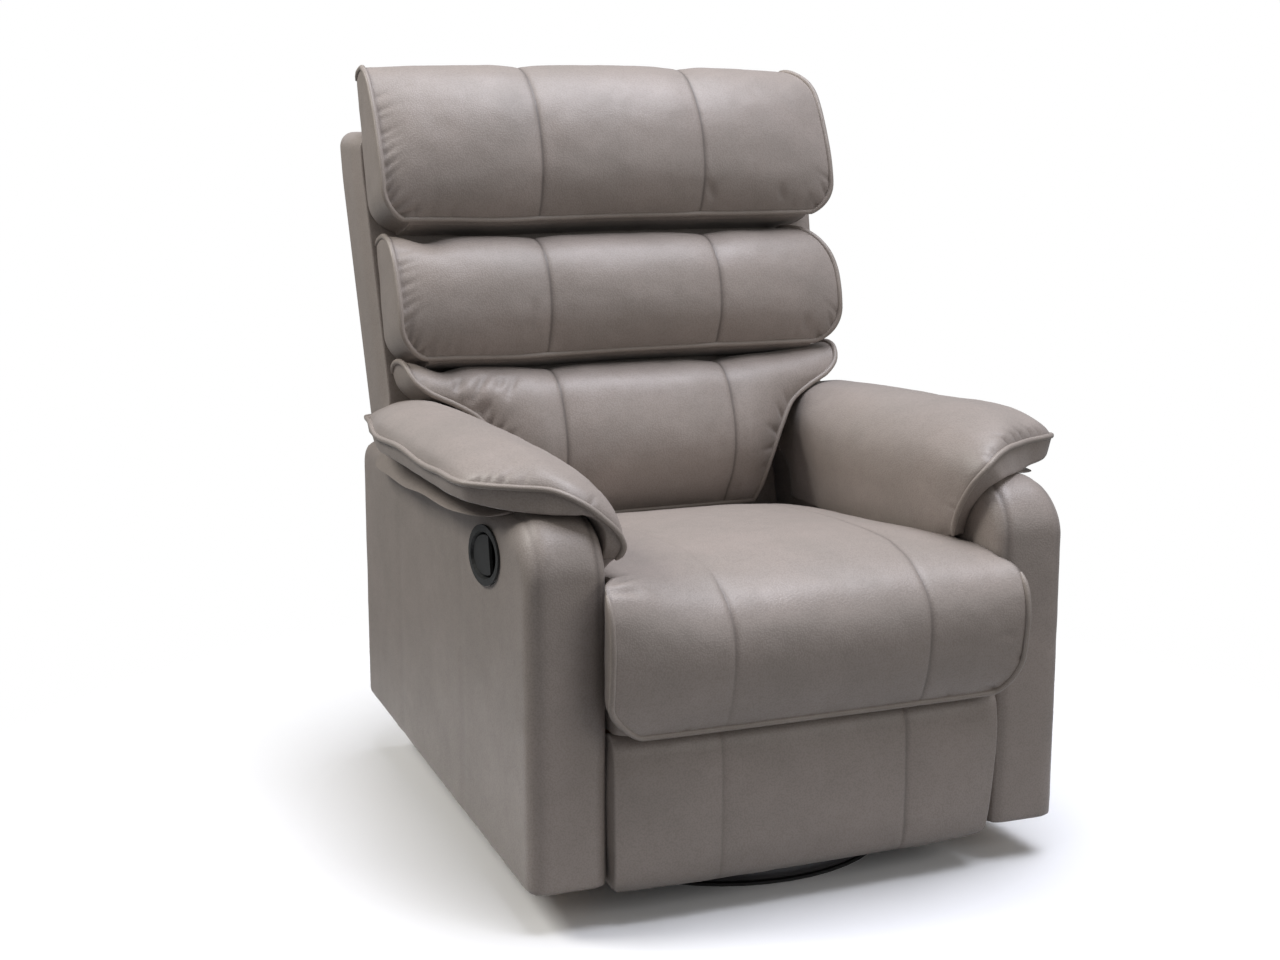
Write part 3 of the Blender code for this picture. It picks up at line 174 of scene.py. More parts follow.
def dress(material, *names):
    """Gives CAD pieces a better finish."""
    for name in names:
        for held in nodes[name].material_slots:
            held.material = material


def start_clear():
    """Leaves edit mode with nothing selected."""
    if bpy.context.object is not None and bpy.context.object.mode != 'OBJECT':
        bpy.ops.object.mode_set(mode='OBJECT')
    bpy.ops.object.select_all(action='DESELECT')


def take_up(piece):
    """Leaves this piece alone selected, and active."""
    start_clear()
    piece.select_set(True)
    bpy.context.view_layer.objects.active = piece


def points_of(piece):
    """A mesh's points as rows."""
    found = np.empty(len(piece.data.vertices) * 3)
    piece.data.vertices.foreach_get("co", found)
    return found.reshape(-1, 3)


def set_points(piece, points):
    """Moves a mesh's points to these rows."""
    piece.data.vertices.foreach_set("co", np.ascontiguousarray(points, float).ravel())
    piece.data.update()


RING_RADIUS = 0.235
RING_TUBE = 0.0125
RING_CENTRE = (0.0, -0.115, 0.0168)
WELD_WIDTH = 0.004
WELD_HEIGHT = 0.07

start_clear()
bpy.ops.mesh.primitive_torus_add(major_segments=144, minor_segments=24, major_radius=RING_RADIUS,
                                 minor_radius=RING_TUBE, location=RING_CENTRE)
tube_ring = bpy.context.object
tube_ring.name = "base_tube"
bpy.ops.object.transform_apply(location=True)
ring_points = points_of(tube_ring)
from_middle = ring_points - np.array(RING_CENTRE)
bearing = np.arctan2(from_middle[:, 1], from_middle[:, 0])
distance = np.linalg.norm(from_middle[:, :2], axis=1)
out = from_middle[:, :2] / distance[:, None] * RING_RADIUS
tube_line = np.column_stack([out, np.zeros(len(out))])
weld = np.exp(-((bearing - math.pi / 2) * RING_RADIUS / WELD_WIDTH) ** 2)
ripple = 1 + 0.3 * np.sin(np.arctan2(from_middle[:, 2], distance - RING_RADIUS) * 9)
swollen = 1 + WELD_HEIGHT * weld * ripple
set_points(tube_ring, np.array(RING_CENTRE) + tube_line + (from_middle - tube_line) * swollen[:, None])
bpy.ops.object.shade_smooth()
tube_ring.data.materials.append(black_powder_coat)
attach(tube_ring, "base")
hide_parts("base_ring")
dress(ring_plastic, "floor_glide_ring")
dress(black_powder_coat, "base_cross")


# Swivel plates, bearing and pin.
# Two pressed steel plates turn on each other on a ball bearing ring, held by one turned pin through the
# middle. The plates are black, the bearing and the pin are bright zinc.

bright_zinc = worn_finish("bright_zinc", shade(168, 170, 170), shade(120, 121, 120),
                          0.34, 0.95, 500.0, 0.00008)
dress(black_powder_coat, "swivel_lower_plate", "swivel_upper_plate")
dress(bright_zinc, "swivel_bearing", "swivel_pin")


# Rocker: cross rails, side rails, cams and two coil springs.
# The rails are welded from square tube, the cams are cut from hardwood and roll on the rails,
# and a heavy coil spring on each side keeps the chair level.

spring_wire = worn_finish("spring_wire", shade(74, 74, 76), shade(112, 110, 106), 0.38, 0.9, 700.0, 0.00006)


def make_timber():
    """Planed pale wood with long growth lines and a few darker pores."""
    material, tree, shader = new_finish("planed_timber")
    place = tree.nodes.new('ShaderNodeTexCoord')
    lengthwise = texture_node(tree, 'ShaderNodeMapping', Scale=(30.0, 2.2, 30.0))
    rings = texture_node(tree, 'ShaderNodeTexNoise', Scale=3.0, Detail=5.0, Roughness=0.65, Distortion=0.8)
    pores = texture_node(tree, 'ShaderNodeTexNoise', Scale=26.0, Detail=2.0)
    join(tree, place.outputs["Object"], lengthwise.inputs["Vector"])
    join(tree, lengthwise.outputs["Vector"], rings.inputs["Vector"])
    join(tree, lengthwise.outputs["Vector"], pores.inputs["Vector"])
    grain = between(tree, rings.outputs["Fac"], 0.35, 0.65, 0.0, 1.0)
    toned = blend_colours(tree, grain, shade(196, 164, 122), shade(164, 126, 84))
    dark = between(tree, pores.outputs["Fac"], 0.60, 0.72, 0.0, 0.5)
    join(tree, blend_colours(tree, dark, toned, shade(112, 82, 52)), shader.inputs["Base Color"])
    join(tree, between(tree, rings.outputs["Fac"], 0.3, 0.7, 0.55, 0.72), shader.inputs["Roughness"])
    raise_relief(tree, shader, pores.outputs["Fac"], 0.0003, 0.35)
    return material


planed_timber = make_timber()
dress(black_powder_coat, "swivel_cross_rail_front", "swivel_cross_rail_rear", "rocker_rail_left",
      "rocker_rail_right")
dress(planed_timber, "rocker_cam_left", "rocker_cam_right")

SIDES = (("left", 1), ("right", -1))
SPRING_WIRE = 0.0025
SPRING_TURNS = 6
SPRING_STEPS = 36


def draw_tube(name, route, radius, widths):
    """A round bar along a route, with a width at each point."""
    line = bpy.data.curves.new(name, 'CURVE')
    line.dimensions = '3D'
    line.bevel_depth = radius
    line.bevel_resolution = 3
    line.use_fill_caps = True
    run = line.splines.new('POLY')
    run.points.add(len(route) - 1)
    run.points.foreach_set("co", np.column_stack([route, np.ones(len(route))]).ravel())
    run.points.foreach_set("radius", widths)
    tube = bpy.data.objects.new(name, line)
    bpy.context.scene.collection.objects.link(tube)
    take_up(tube)
    bpy.ops.object.convert(target='MESH')
    bpy.ops.object.shade_smooth()
    return tube


def wind_spring(label):
    """A compression spring of round wire; its end turns lie closed on the rail and under the bar."""
    low, high = (np.array(corner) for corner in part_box("rocker_spring_" + label))
    rise = high[2] - low[2] - 2 * SPRING_WIRE
    closed = 2.1 * SPRING_WIRE / rise
    share = np.linspace(0.0, 1.0, SPRING_TURNS * SPRING_STEPS + 1)
    turn = 2 * math.pi * SPRING_TURNS * share
    radius = (high[0] - low[0]) / 2 - SPRING_WIRE
    lift = np.interp(share, [0, 1 / SPRING_TURNS, 1 - 1 / SPRING_TURNS, 1], [0, closed, 1 - closed, 1])
    middle_x, middle_y = (low[0] + high[0]) / 2, (low[1] + high[1]) / 2
    route = np.column_stack([middle_x + radius * np.cos(turn), middle_y + radius * np.sin(turn),
                             low[2] + SPRING_WIRE + rise * lift])
    spring = draw_tube("rocker_coil_" + label, route, SPRING_WIRE, np.ones(len(route)))
    spring.data.materials.append(spring_wire)
    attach(spring, "swivel_frame")
    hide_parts("rocker_spring_" + label)
    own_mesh(spring)


for label, side in SIDES:
    wind_spring(label)


# Reclining mechanism: side plates, cross bars and the footrest's folding links.
# Pressed steel plates on each side carry riveted links; two bars and a drive shaft tie the sides together.
# All of it is black, with a dull powder coat.

dress(black_powder_coat, "mechanism_plate_left", "mechanism_plate_right", "mechanism_cross_bar_front",
      "mechanism_cross_bar_rear", "footrest_drive_shaft")
for link in ("main_link", "cross_link", "rear_link", "front_link", "bracket"):
    dress(black_powder_coat, "footrest_" + link + "_left", "footrest_" + link + "_right")


# Seat box: four timber rails and a sprung deck under the cushion.
# The rails are planed timber screwed to the side plates, and the deck is a board covered in black
# woven cloth.

def make_deck_cloth():
    """Black woven lining cloth."""
    material, tree, shader = new_finish("black_lining_cloth")
    place = tree.nodes.new('ShaderNodeTexCoord')
    heights = []
    for axis in ('X', 'Y'):
        threads = texture_node(tree, 'ShaderNodeTexWave', Scale=260.0, Distortion=0.6, Detail=1.0)
        threads.bands_direction = axis
        join(tree, place.outputs["Object"], threads.inputs["Vector"])
        heights.append(threads.outputs["Fac"])
    weave = reckon(tree, 'MULTIPLY', heights[0], heights[1])
    fluff = texture_node(tree, 'ShaderNodeTexNoise', Scale=35.0, Detail=4.0)
    join(tree, place.outputs["Object"], fluff.inputs["Vector"])
    toned = blend_colours(tree, weave, shade(22, 22, 23), shade(52, 51, 50))
    dusty = between(tree, fluff.outputs["Fac"], 0.45, 0.75, 0.0, 0.35)
    join(tree, blend_colours(tree, dusty, toned, shade(70, 68, 65)), shader.inputs["Base Color"])
    join(tree, between(tree, fluff.outputs["Fac"], 0.3, 0.7, 0.85, 0.97), shader.inputs["Roughness"])
    raise_relief(tree, shader, weave, 0.0003, 0.5)
    return material


black_lining = make_deck_cloth()
dress(planed_timber, "seat_side_rail_left", "seat_side_rail_right", "seat_front_rail", "seat_rear_rail")
dress(black_lining, "seat_deck")


# Seat cushion.
# Foam in a leatherette cover of three panels that runs over the top and down the front in a waterfall.
# The panels meet in two drawn-in seams, and a piped edge goes round the front panel's sides and bottom.

def make_grain_group():
    """Pebbled skin, pores and cloudy tone that every leatherette piece shares."""
    group = bpy.data.node_groups.new("leatherette_grain", 'ShaderNodeTree')
    group.interface.new_socket("Pebbles", in_out='INPUT', socket_type='NodeSocketFloat')
    for name in ("Height", "Pores", "Clouds"):
        group.interface.new_socket(name, in_out='OUTPUT', socket_type='NodeSocketFloat')
    given = group.nodes.new('NodeGroupInput')
    handed = group.nodes.new('NodeGroupOutput')
    place = group.nodes.new('ShaderNodeTexCoord')
    pebble = texture_node(group, 'ShaderNodeTexVoronoi', feature='SMOOTH_F1', Smoothness=0.35, Randomness=0.9)
    join(group, place.outputs["Object"], pebble.inputs["Vector"])
    join(group, given.outputs["Pebbles"], pebble.inputs["Scale"])
    fine = texture_node(group, 'ShaderNodeTexNoise', Scale=1500.0, Detail=2.0)
    join(group, place.outputs["Object"], fine.inputs["Vector"])
    broad = texture_node(group, 'ShaderNodeTexNoise', Scale=9.0, Detail=5.0, Roughness=0.62)
    join(group, place.outputs["Object"], broad.inputs["Vector"])
    patchy = texture_node(group, 'ShaderNodeTexNoise', Scale=70.0, Detail=3.0, Roughness=0.6)
    join(group, place.outputs["Object"], patchy.inputs["Vector"])
    dome = between(group, pebble.outputs["Distance"], 0.05, 0.65, 1.0, 0.0)
    height = reckon(group, 'ADD', reckon(group, 'MULTIPLY', dome, 0.75),
                    reckon(group, 'MULTIPLY', fine.outputs["Fac"], 0.25))
    clouds = reckon(group, 'ADD', reckon(group, 'MULTIPLY', broad.outputs["Fac"], 0.8),
                    reckon(group, 'MULTIPLY', patchy.outputs["Fac"], 0.2))
    join(group, height, handed.inputs["Height"])
    join(group, between(group, pebble.outputs["Distance"], 0.42, 0.70, 0.0, 1.0), handed.inputs["Pores"])
    join(group, between(group, clouds, 0.32, 0.68, 0.0, 1.0), handed.inputs["Clouds"])
    return group


grain_group = make_grain_group()


def leatherette(name, light, dark, crease, pebbles=430.0):
    """Taupe leatherette: cloudy tone, dark pores, and painted shade in the crease colour where the seam
    attribute is painted.
    """
    material, tree, shader = new_finish(name)
    grain = texture_node(tree, 'ShaderNodeGroup', node_tree=grain_group)
    grain.inputs["Pebbles"].default_value = pebbles
    # The seam attribute says where the crease colour is laid on as painted shade, in seams, creases and along
    # piping.
    painted = texture_node(tree, 'ShaderNodeAttribute', attribute_name="seam")
    toned = blend_colours(tree, grain.outputs["Clouds"], dark, light)
    pored = blend_colours(tree, reckon(tree, 'MULTIPLY', grain.outputs["Pores"], 0.16), toned, crease)
    join(tree, blend_colours(tree, painted.outputs["Fac"], pored, crease), shader.inputs["Base Color"])
    join(tree, between(tree, grain.outputs["Clouds"], 0.0, 1.0, 0.50, 0.41), shader.inputs["Roughness"])
    shader.inputs["Specular IOR Level"].default_value = 0.5
    shader.inputs["Sheen Weight"].default_value = 0.12
    shader.inputs["Sheen Roughness"].default_value = 0.45
    raise_relief(tree, shader, grain.outputs["Height"], 0.0007, 0.32)
    return material


# The crease colour darkens the pores a little and is the painted shade of seams, piped edges, gathers and
# folds.
taupe_leatherette = leatherette("taupe_leatherette_cover", shade(155, 144, 137), shade(142, 133, 126),
                                shade(80, 72, 67))
piping_leatherette = leatherette("taupe_leatherette_piping", shade(154, 144, 136), shade(142, 132, 124),
                                 shade(96, 87, 80), 600.0)


def smooth_line(knots, share):
    """Points on a smooth line through the knots, at shares of its length."""
    knots = np.array(knots, float)
    share = np.clip(np.asarray(share, float), 0.0, 1.0)
    mark = np.r_[0.0, np.cumsum(np.linalg.norm(np.diff(knots, axis=0), axis=1))]
    mark /= mark[-1]
    slope = np.gradient(knots, mark, axis=0)
    first = np.clip(np.searchsorted(mark, share, side="right") - 1, 0, len(mark) - 2)
    gap = mark[first + 1] - mark[first]
    t = ((share - mark[first]) / gap)[..., None]
    gap = gap[..., None]
    return ((2 * t**3 - 3 * t**2 + 1) * knots[first] + (t**3 - 2 * t**2 + t) * gap * slope[first]
            + (3 * t**2 - 2 * t**3) * knots[first + 1] + (t**3 - t**2) * gap * slope[first + 1])


def ease(value, low, high):
    """0 below low, 1 above high and smooth between."""
    t = np.clip((value - low) / (high - low), 0.0, 1.0)
    return t * t * (3 - 2 * t)


def spaced(start, end, pitch):
    """Even places from start to end, about a pitch apart."""
    return list(np.linspace(start, end, max(2, int(round(abs(end - start) / pitch)) + 1)))


def cut_block(name, across, deep, up):
    """A cube cut into a grid whose lines stand at the given shares; the shares come back with the piece."""
    start_clear()
    bpy.ops.mesh.primitive_cube_add(size=2)
    block = bpy.context.object
    block.name = name
    bpy.ops.object.mode_set(mode='EDIT')
    bpy.ops.mesh.select_mode(type='EDGE')
    for axis, marks in enumerate((across, deep, up)):
        bpy.ops.mesh.select_all(action='DESELECT')
        shape = bmesh.from_edit_mesh(block.data)
        for edge in shape.edges:
            edge.select_set(abs(edge.verts[0].co[axis] - edge.verts[1].co[axis]) > 1e-6)
        bmesh.update_edit_mesh(block.data)
        bpy.ops.mesh.subdivide(number_cuts=len(marks) - 2)
    bpy.ops.mesh.select_mode(type='VERT')
    bpy.ops.object.mode_set(mode='OBJECT')
    even = points_of(block)
    shares = np.empty_like(even)
    for axis, marks in enumerate((across, deep, up)):
        step = np.rint((even[:, axis] + 1) / 2 * (len(marks) - 1)).astype(int)
        shares[:, axis] = np.array(marks)[step]
    return block, shares


def outward(piece):
    """The outward direction at each of a mesh's points."""
    found = np.empty(len(piece.data.vertices) * 3)
    piece.data.vertex_normals.foreach_get("vector", found)
    return found.reshape(-1, 3)


def edge_ends(piece):
    """The two points of each of a mesh's edges."""
    ends = np.empty(len(piece.data.edges) * 2, int)
    piece.data.edges.foreach_get("vertices", ends)
    return ends.reshape(-1, 2)


def sharpen(piece, chosen):
    """Keeps the edges between chosen points crisp under subdivision."""
    ends = edge_ends(piece)
    crease = piece.data.attributes.new("crease_edge", 'FLOAT', 'EDGE')
    crease.data.foreach_set("value", (chosen[ends[:, 0]] & chosen[ends[:, 1]]).astype(np.float32))


STUFFING_FRAMES = 20
SMOOTHING_ROUNDS = 10


def stuff(piece, free, pressure, reach):
    """Lets the cover swell between the stitch lines that hold it, no further than reach."""
    rest = points_of(piece)
    held = piece.vertex_groups.new(name="held")
    weights = np.round(1 - free, 2)
    for weight in np.unique(weights):
        held.add(np.flatnonzero(weights == weight).tolist(), float(weight), 'REPLACE')
    cloth = piece.modifiers.new("stuffing", 'CLOTH')
    cloth.settings.quality = 6
    cloth.settings.mass = 0.25
    cloth.settings.tension_stiffness = 18
    cloth.settings.compression_stiffness = 18
    cloth.settings.shear_stiffness = 8
    cloth.settings.bending_stiffness = 1.2
    cloth.settings.use_pressure = True
    cloth.settings.uniform_pressure_force = pressure
    cloth.settings.vertex_group_mass = "held"
    cloth.settings.effector_weights.gravity = 0
    cloth.collision_settings.use_collision = False
    scene = bpy.context.scene
    for number in range(1, STUFFING_FRAMES + 1):
        scene.frame_set(number)
    bpy.context.view_layer.objects.active = piece
    bpy.ops.object.modifier_apply(modifier="stuffing")
    scene.frame_set(1)
    shift = points_of(piece) - rest
    ends = edge_ends(piece)
    here, there = np.r_[ends[:, 0], ends[:, 1]], np.r_[ends[:, 1], ends[:, 0]]
    loose = (free > 0.6)[:, None]
    for _ in range(SMOOTHING_ROUNDS):
        near = np.zeros_like(shift)
        np.add.at(near, here, shift[there])
        near /= np.maximum(np.bincount(here, minlength=len(shift)), 1)[:, None]
        shift = np.where(loose, 0.5 * shift + 0.5 * near, shift)
    far = np.linalg.norm(shift, axis=1)
    kept = reach * np.tanh(far / reach) / np.maximum(far, 1e-9)
    set_points(piece, rest + shift * kept[:, None])
    piece.vertex_groups.clear()


def round_off(piece):
    """One applied subdivision, shaded smooth."""
    take_up(piece)
    finer = piece.modifiers.new("finer", 'SUBSURF')
    finer.levels = finer.render_levels = 1
    bpy.ops.object.modifier_apply(modifier="finer")
    bpy.ops.object.shade_smooth()


def pipe_edge(name, route, radius, body):
    """A cord covered in leatherette along an edge, thinner where its ends are tucked in."""
    welt = draw_tube(name, route, radius, np.r_[0.4, 0.75, np.ones(len(route) - 4), 0.75, 0.4])
    welt.data.materials.append(piping_leatherette)
    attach(welt, body)


def finish_cover(piece, body, node):
    """Leatherette on a finished cover, which stands for a padded node and moves with its body."""
    piece.data.materials.append(taupe_leatherette)
    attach(piece, body)
    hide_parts(node)


CRUMPLES_PER_METRE = 22.0
CUSHION_CRUMPLE = 0.0008


def crumple(piece, height):
    """Slight unevenness of a cover over its stuffing, a few centimetres from crest to crest."""
    points = points_of(piece)
    wave = np.array([noise.fractal(CRUMPLES_PER_METRE * Vector(point), 1.0, 2.1, 2) for point in points])
    set_points(piece, points + outward(piece) * (height * wave)[:, None])


def paint_seam_shade(piece, shade_amount):
    """Paints shade into a cover where it is darker, along seams, piping and creases, from 0 to 1: painted
    shade.
    """
    layer = piece.data.attributes.new("seam", 'FLOAT', 'POINT')
    layer.data.foreach_set("value", np.clip(shade_amount, 0.0, 1.0).astype(np.float32))


def add_painted_shade(piece, shade_amount):
    """Adds painted shade to the seam paint."""
    layer = piece.data.attributes["seam"].data
    tone = np.empty(len(layer), np.float32)
    layer.foreach_get("value", tone)
    layer.foreach_set("value", np.clip(tone + shade_amount, 0.0, 1.0).astype(np.float32))


CUSHION_PITCH = 0.009


def columns(half, seams):
    """Places across a cushion, close together at its seams and edges, as shares of its half width."""
    sides = []
    for seam in seams:
        inner = spaced(0.0, seam - 0.014, CUSHION_PITCH)
        sewn = [seam - 0.007, seam - 0.003, seam, seam + 0.003, seam + 0.007, seam + 0.014]
        outer = spaced(seam + 0.022, half - 0.016, CUSHION_PITCH) + [half - 0.010, half - 0.005, half]
        sides.append(np.array(inner + sewn + outer))
    return np.r_[-sides[0][:0:-1], sides[1]] / half


def pull_cover(shares, half, seams, half_at, edge, middle, turn, rear, under, fullness=3.4):
    """Pulls a cut block into a cover: its front and top follow one line, fuller in the middle than at the
    piping. Lines are in forward distance and height, from the rear top edge over the front to the bottom
    piping. Where the cover narrows, only its outer panels do, and the seams stay straight."""
    u = shares[:, 0]
    deep = (shares[:, 1] + 1) / 2
    high = (shares[:, 2] + 1) / 2
    full = (1 - np.abs(u) ** fullness)[:, None]
    d = deep[:, None]
    h = high[:, None]

    def cover_at(share):
        return smooth_line(edge, share) * (1 - full) + smooth_line(middle, share) * full

    front = cover_at(turn + (1 - turn) * (1 - high))
    top = cover_at(turn * (1 - deep))
    low_front = cover_at(np.ones_like(u))
    high_front = cover_at(np.full_like(u, turn))
    high_rear = cover_at(np.zeros_like(u))
    low_rear = np.broadcast_to(np.array(under[-1], float), low_front.shape)
    back = smooth_line(rear, high)
    back = back + (high_rear - smooth_line(rear, np.ones_like(u))) * h
    base = np.column_stack([np.interp(deep, np.linspace(0, 1, len(under)), [p[k] for p in under])
                            for k in (0, 1)])
    base = base + (low_front - np.array(under[0])) * (1 - d) ** 2
    spot = ((1 - d) * front + d * back + (1 - h) * base + h * top
            - (1 - d) * (1 - h) * low_front - (1 - d) * h * high_front
            - d * (1 - h) * low_rear - d * h * high_rear)
    side = np.isclose(np.abs(u), 1.0)
    straight = max(seams) + 0.014
    beyond = np.maximum(0.0, np.abs(u) * half - straight) / (half - straight)
    x = np.minimum(np.abs(u) * half, straight) + beyond * (half_at(spot[:, 0], spot[:, 1], u > 0) - straight)
    x = x * np.sign(u)
    x = x + np.where(side, np.sign(u) * 0.004 * np.sin(np.pi * deep) * np.sin(np.pi * high), 0.0)
    return np.column_stack([x, spot])


def seam_reach(x, seams, width):
    """1 on a seam and fading to 0 away from it."""
    near = np.minimum(np.abs(x + seams[0]), np.abs(x - seams[1]))
    return np.exp(-(near / width) ** 2)


def follow(route, placed, chosen, key):
    """Adds a run of points to a route, in the order of a key, without doubles."""
    run = np.flatnonzero(chosen)
    for i in run[np.argsort(key[run])]:
        if not route or np.linalg.norm(placed[i] - route[-1]) > 1e-5:
            route.append(placed[i])


# How dark gathers and folds are painted for each metre of depth: painted shade in the creases.
GATHER_SHADE = 55
FOLD_SHADE = 28


def draw_gathers(piece, route, creases, length, width, inward=None):
    """Short creases that run in from a piped edge, where the stitches draw the cover together.
    Each crease is a share along the edge, a depth and a slant."""
    route = np.array(route)
    mark = np.r_[0.0, np.cumsum(np.linalg.norm(np.diff(route, axis=0), axis=1))]
    points = points_of(piece)
    shift = np.zeros(len(points))
    for share, depth, slant in creases:
        i = int(np.clip(np.searchsorted(mark, share * mark[-1]), 2, len(route) - 3))
        along = route[i + 2] - route[i - 2]
        along /= np.linalg.norm(along)
        away = points - route[i]
        into = route.mean(axis=0) - route[i] if inward is None else np.array(inward, float)
        into = into - along * into.dot(along)
        into /= np.linalg.norm(into)
        in_panel = away @ into
        across = away @ along - slant * in_panel
        far = np.linalg.norm(away, axis=1)
        shift += (depth * np.exp(-(across / width) ** 2) * np.exp(-(far / length) ** 2)
                  * ease(in_panel, -0.001, 0.005))
    set_points(piece, points - outward(piece) * shift[:, None])
    # The gathers are painted darker by their depth: painted shade.
    add_painted_shade(piece, GATHER_SHADE * shift)


def press_fold(piece, start, end, depth, width):
    """A soft fold in a cover, from one place to another."""
    points = points_of(piece)
    start, end = (points[np.argmin(np.linalg.norm(points - np.array(place), axis=1))]
                  for place in (start, end))
    run = end - start
    share = np.clip((points - start) @ run / run.dot(run), 0.0, 1.0)
    off = np.linalg.norm(points - start - share[:, None] * run, axis=1)
    profile = (1 - 0.5 * (off / width) ** 2) * np.exp(-(off / width) ** 2)
    pressed = depth * np.sin(np.pi * (0.12 + 0.76 * share)) * profile
    set_points(piece, points - outward(piece) * pressed[:, None])
    # The fold is painted darker by its depth: painted shade.
    add_painted_shade(piece, FOLD_SHADE * np.maximum(0.0, pressed))


SEAM_GROOVE = 0.0026
# How dark a cover's piped edge is painted: painted shade along the cord.
EDGE_SHADE = 0.65


def sew_cushion(name, body, node, half, shares, block, spots, to_world, seams, dip, pressure, reach,
                hold, piping=0.0, over_top=True, creases=(), crease_length=0.022, dark=0.55, shown=1.0):
    """Places the cover, draws in its seams, stuffs it, and pipes the front panel's edge.
    The seams dip over a few centimetres and show by a share.
    The hold says how firmly they keep the cover down."""
    set_points(block, to_world(spots))
    u, deep, high = shares.T
    front = np.isclose(deep, -1.0)
    top = np.isclose(high, 1.0)
    side = np.isclose(np.abs(u), 1.0)
    low = np.isclose(high, -1.0)
    rear = np.isclose(deep, 1.0)
    panel = (front | top) & ~rear
    u_x = u * half
    inside = panel & ~side & ~low
    drawn = shown * (dip * seam_reach(u_x, seams, 0.030) + SEAM_GROOVE * seam_reach(u_x, seams, 0.0030))
    drawn = drawn * np.where(front, 0.15 + 0.85 * ease(high, -1.0, -0.7), 1.0)
    set_points(block, points_of(block) - outward(block) * np.where(panel & ~side, drawn, 0.0)[:, None])
    free = np.where(inside, 1 - hold * seam_reach(u_x, seams, 0.0040), 0.0)
    stuff(block, free, pressure, reach)
    placed = points_of(block)
    rim = side & (front | top) | front & low
    sharpen(block, rim)
    route = []
    if over_top:
        follow(route, placed, np.isclose(u, -1.0) & top, -deep)
    follow(route, placed, np.isclose(u, -1.0) & front, -high)
    follow(route, placed, front & low, u)
    follow(route, placed, np.isclose(u, 1.0) & front, high)
    if over_top:
        follow(route, placed, np.isclose(u, 1.0) & top, deep)
    edged = rim if piping else np.zeros(len(u), bool)
    # The piped edge and the seams are painted darker, as painted shade along the cord and in the seam
    # grooves; dark sets the seams' shade.
    painted_seam_shade = np.where(panel & ~edged, dark * shown * seam_reach(u_x, seams, 0.0022), 0.0)
    paint_seam_shade(block, np.where(edged, EDGE_SHADE, 0.0) + painted_seam_shade)
    round_off(block)
    crumple(block, CUSHION_CRUMPLE)
    draw_gathers(block, route, creases, crease_length, 0.0045)
    finish_cover(block, body, node)
    if piping:
        pipe_edge(name + "_piping", np.array(route), piping, body)
    return block


SEAT_HALF = 0.268
SEAT_SEAMS = (0.131, 0.142)
SEAT_LIP_Z = 0.250
SEAT_UNDER_Z = 0.341
SEAT_REAR = -0.170
SEAT_PIPING = 0.0040

seat_edge = [(SEAT_REAR, 0.386), (-0.05, 0.397), (0.10, 0.406), (0.20, 0.419), (0.28, 0.428), (0.35, 0.431),
             (0.400, 0.427), (0.434, 0.414), (0.453, 0.392), (0.459, 0.365), (0.457, 0.330), (0.451, 0.295),
             (0.443, 0.268), (0.434, SEAT_LIP_Z + 0.001)]
seat_middle = [(SEAT_REAR, 0.394), (-0.05, 0.420), (0.10, 0.437), (0.20, 0.444), (0.28, 0.447), (0.35, 0.444),
               (0.400, 0.432), (0.438, 0.409), (0.457, 0.381), (0.463, 0.350), (0.460, 0.318), (0.453, 0.288),
               (0.444, 0.266), (0.434, SEAT_LIP_Z)]


def seat_half_at(forward, height, right):
    """Between the arms behind, bulging over their fronts ahead, with rounded lower corners."""
    bulge = np.where(right, 0.0140, 0.0190) * ease(forward, 0.405, 0.430) * ease(height, 0.255, 0.30)
    corner = np.where(right, 0.026, 0.038)
    below = np.clip((SEAT_LIP_Z + corner - height) / corner, 0.0, 1.0) * ease(forward, 0.405, 0.428)
    return SEAT_HALF + 0.0025 + bulge - corner * (1 - np.sqrt(1 - 0.98 * below**2))


seat_rows = [-1, -0.994, -0.98, -0.955, -0.92, -0.875, -0.82] + list(np.linspace(-0.75, 1, 22))
seat_block, seat_shares = cut_block("seat_cover", columns(SEAT_HALF, SEAT_SEAMS),
                                    np.linspace(-1, 1, 62), seat_rows)
seat_under = [(0.430, SEAT_LIP_Z), (0.372, SEAT_LIP_Z), (0.359, SEAT_LIP_Z)]
seat_under += [(forward, SEAT_UNDER_Z) for forward in (0.3585, 0.30, 0.20, 0.10, -0.08, SEAT_REAR)]
seat_spots = pull_cover(seat_shares, SEAT_HALF, SEAT_SEAMS, seat_half_at, seat_edge, seat_middle, 0.785,
                        [(SEAT_REAR, SEAT_UNDER_Z), (SEAT_REAR, 0.380)], seat_under)
seat_forward, seat_height = seat_spots[:, 1], seat_spots[:, 2]
seat_left = seat_shares[:, 0] < 0
seat_faint = ease(seat_forward, 0.37, 0.43) * (0.35 + 0.65 * ease(seat_height, 0.27, 0.40))
seat_shown = np.where(seat_left, 0.12 + 0.88 * seat_faint, 1.0)
seat_spots[:, 2] += (0.024 * np.exp(-((seat_shares[:, 0] + 1) / 0.24) ** 2) * ease(seat_forward, 0.34, 0.425)
                     * ease(seat_height, 0.32, 0.415))
seat_spots[:, 0] += (0.075 * np.clip(0.42 - seat_forward, 0.0, 0.35) * ~seat_left
                     * np.exp(-((seat_shares[:, 0] * SEAT_HALF - SEAT_SEAMS[1]) / 0.070) ** 2))
seat_cover = sew_cushion("seat_cover", "chair", "seat_cushion", SEAT_HALF, seat_shares, seat_block,
                         seat_spots, lambda p: np.column_stack([p[:, 0], -p[:, 1], p[:, 2]]), SEAT_SEAMS,
                         dip=0.0004, pressure=2.0, reach=0.006, hold=0.35, piping=SEAT_PIPING,
                         over_top=False, shown=seat_shown,
                         creases=[(0.30, 0.0016, 0.4), (0.72, 0.0020, -0.4), (0.80, 0.0022, -0.4),
                                  (0.86, 0.0016, 0.3)])
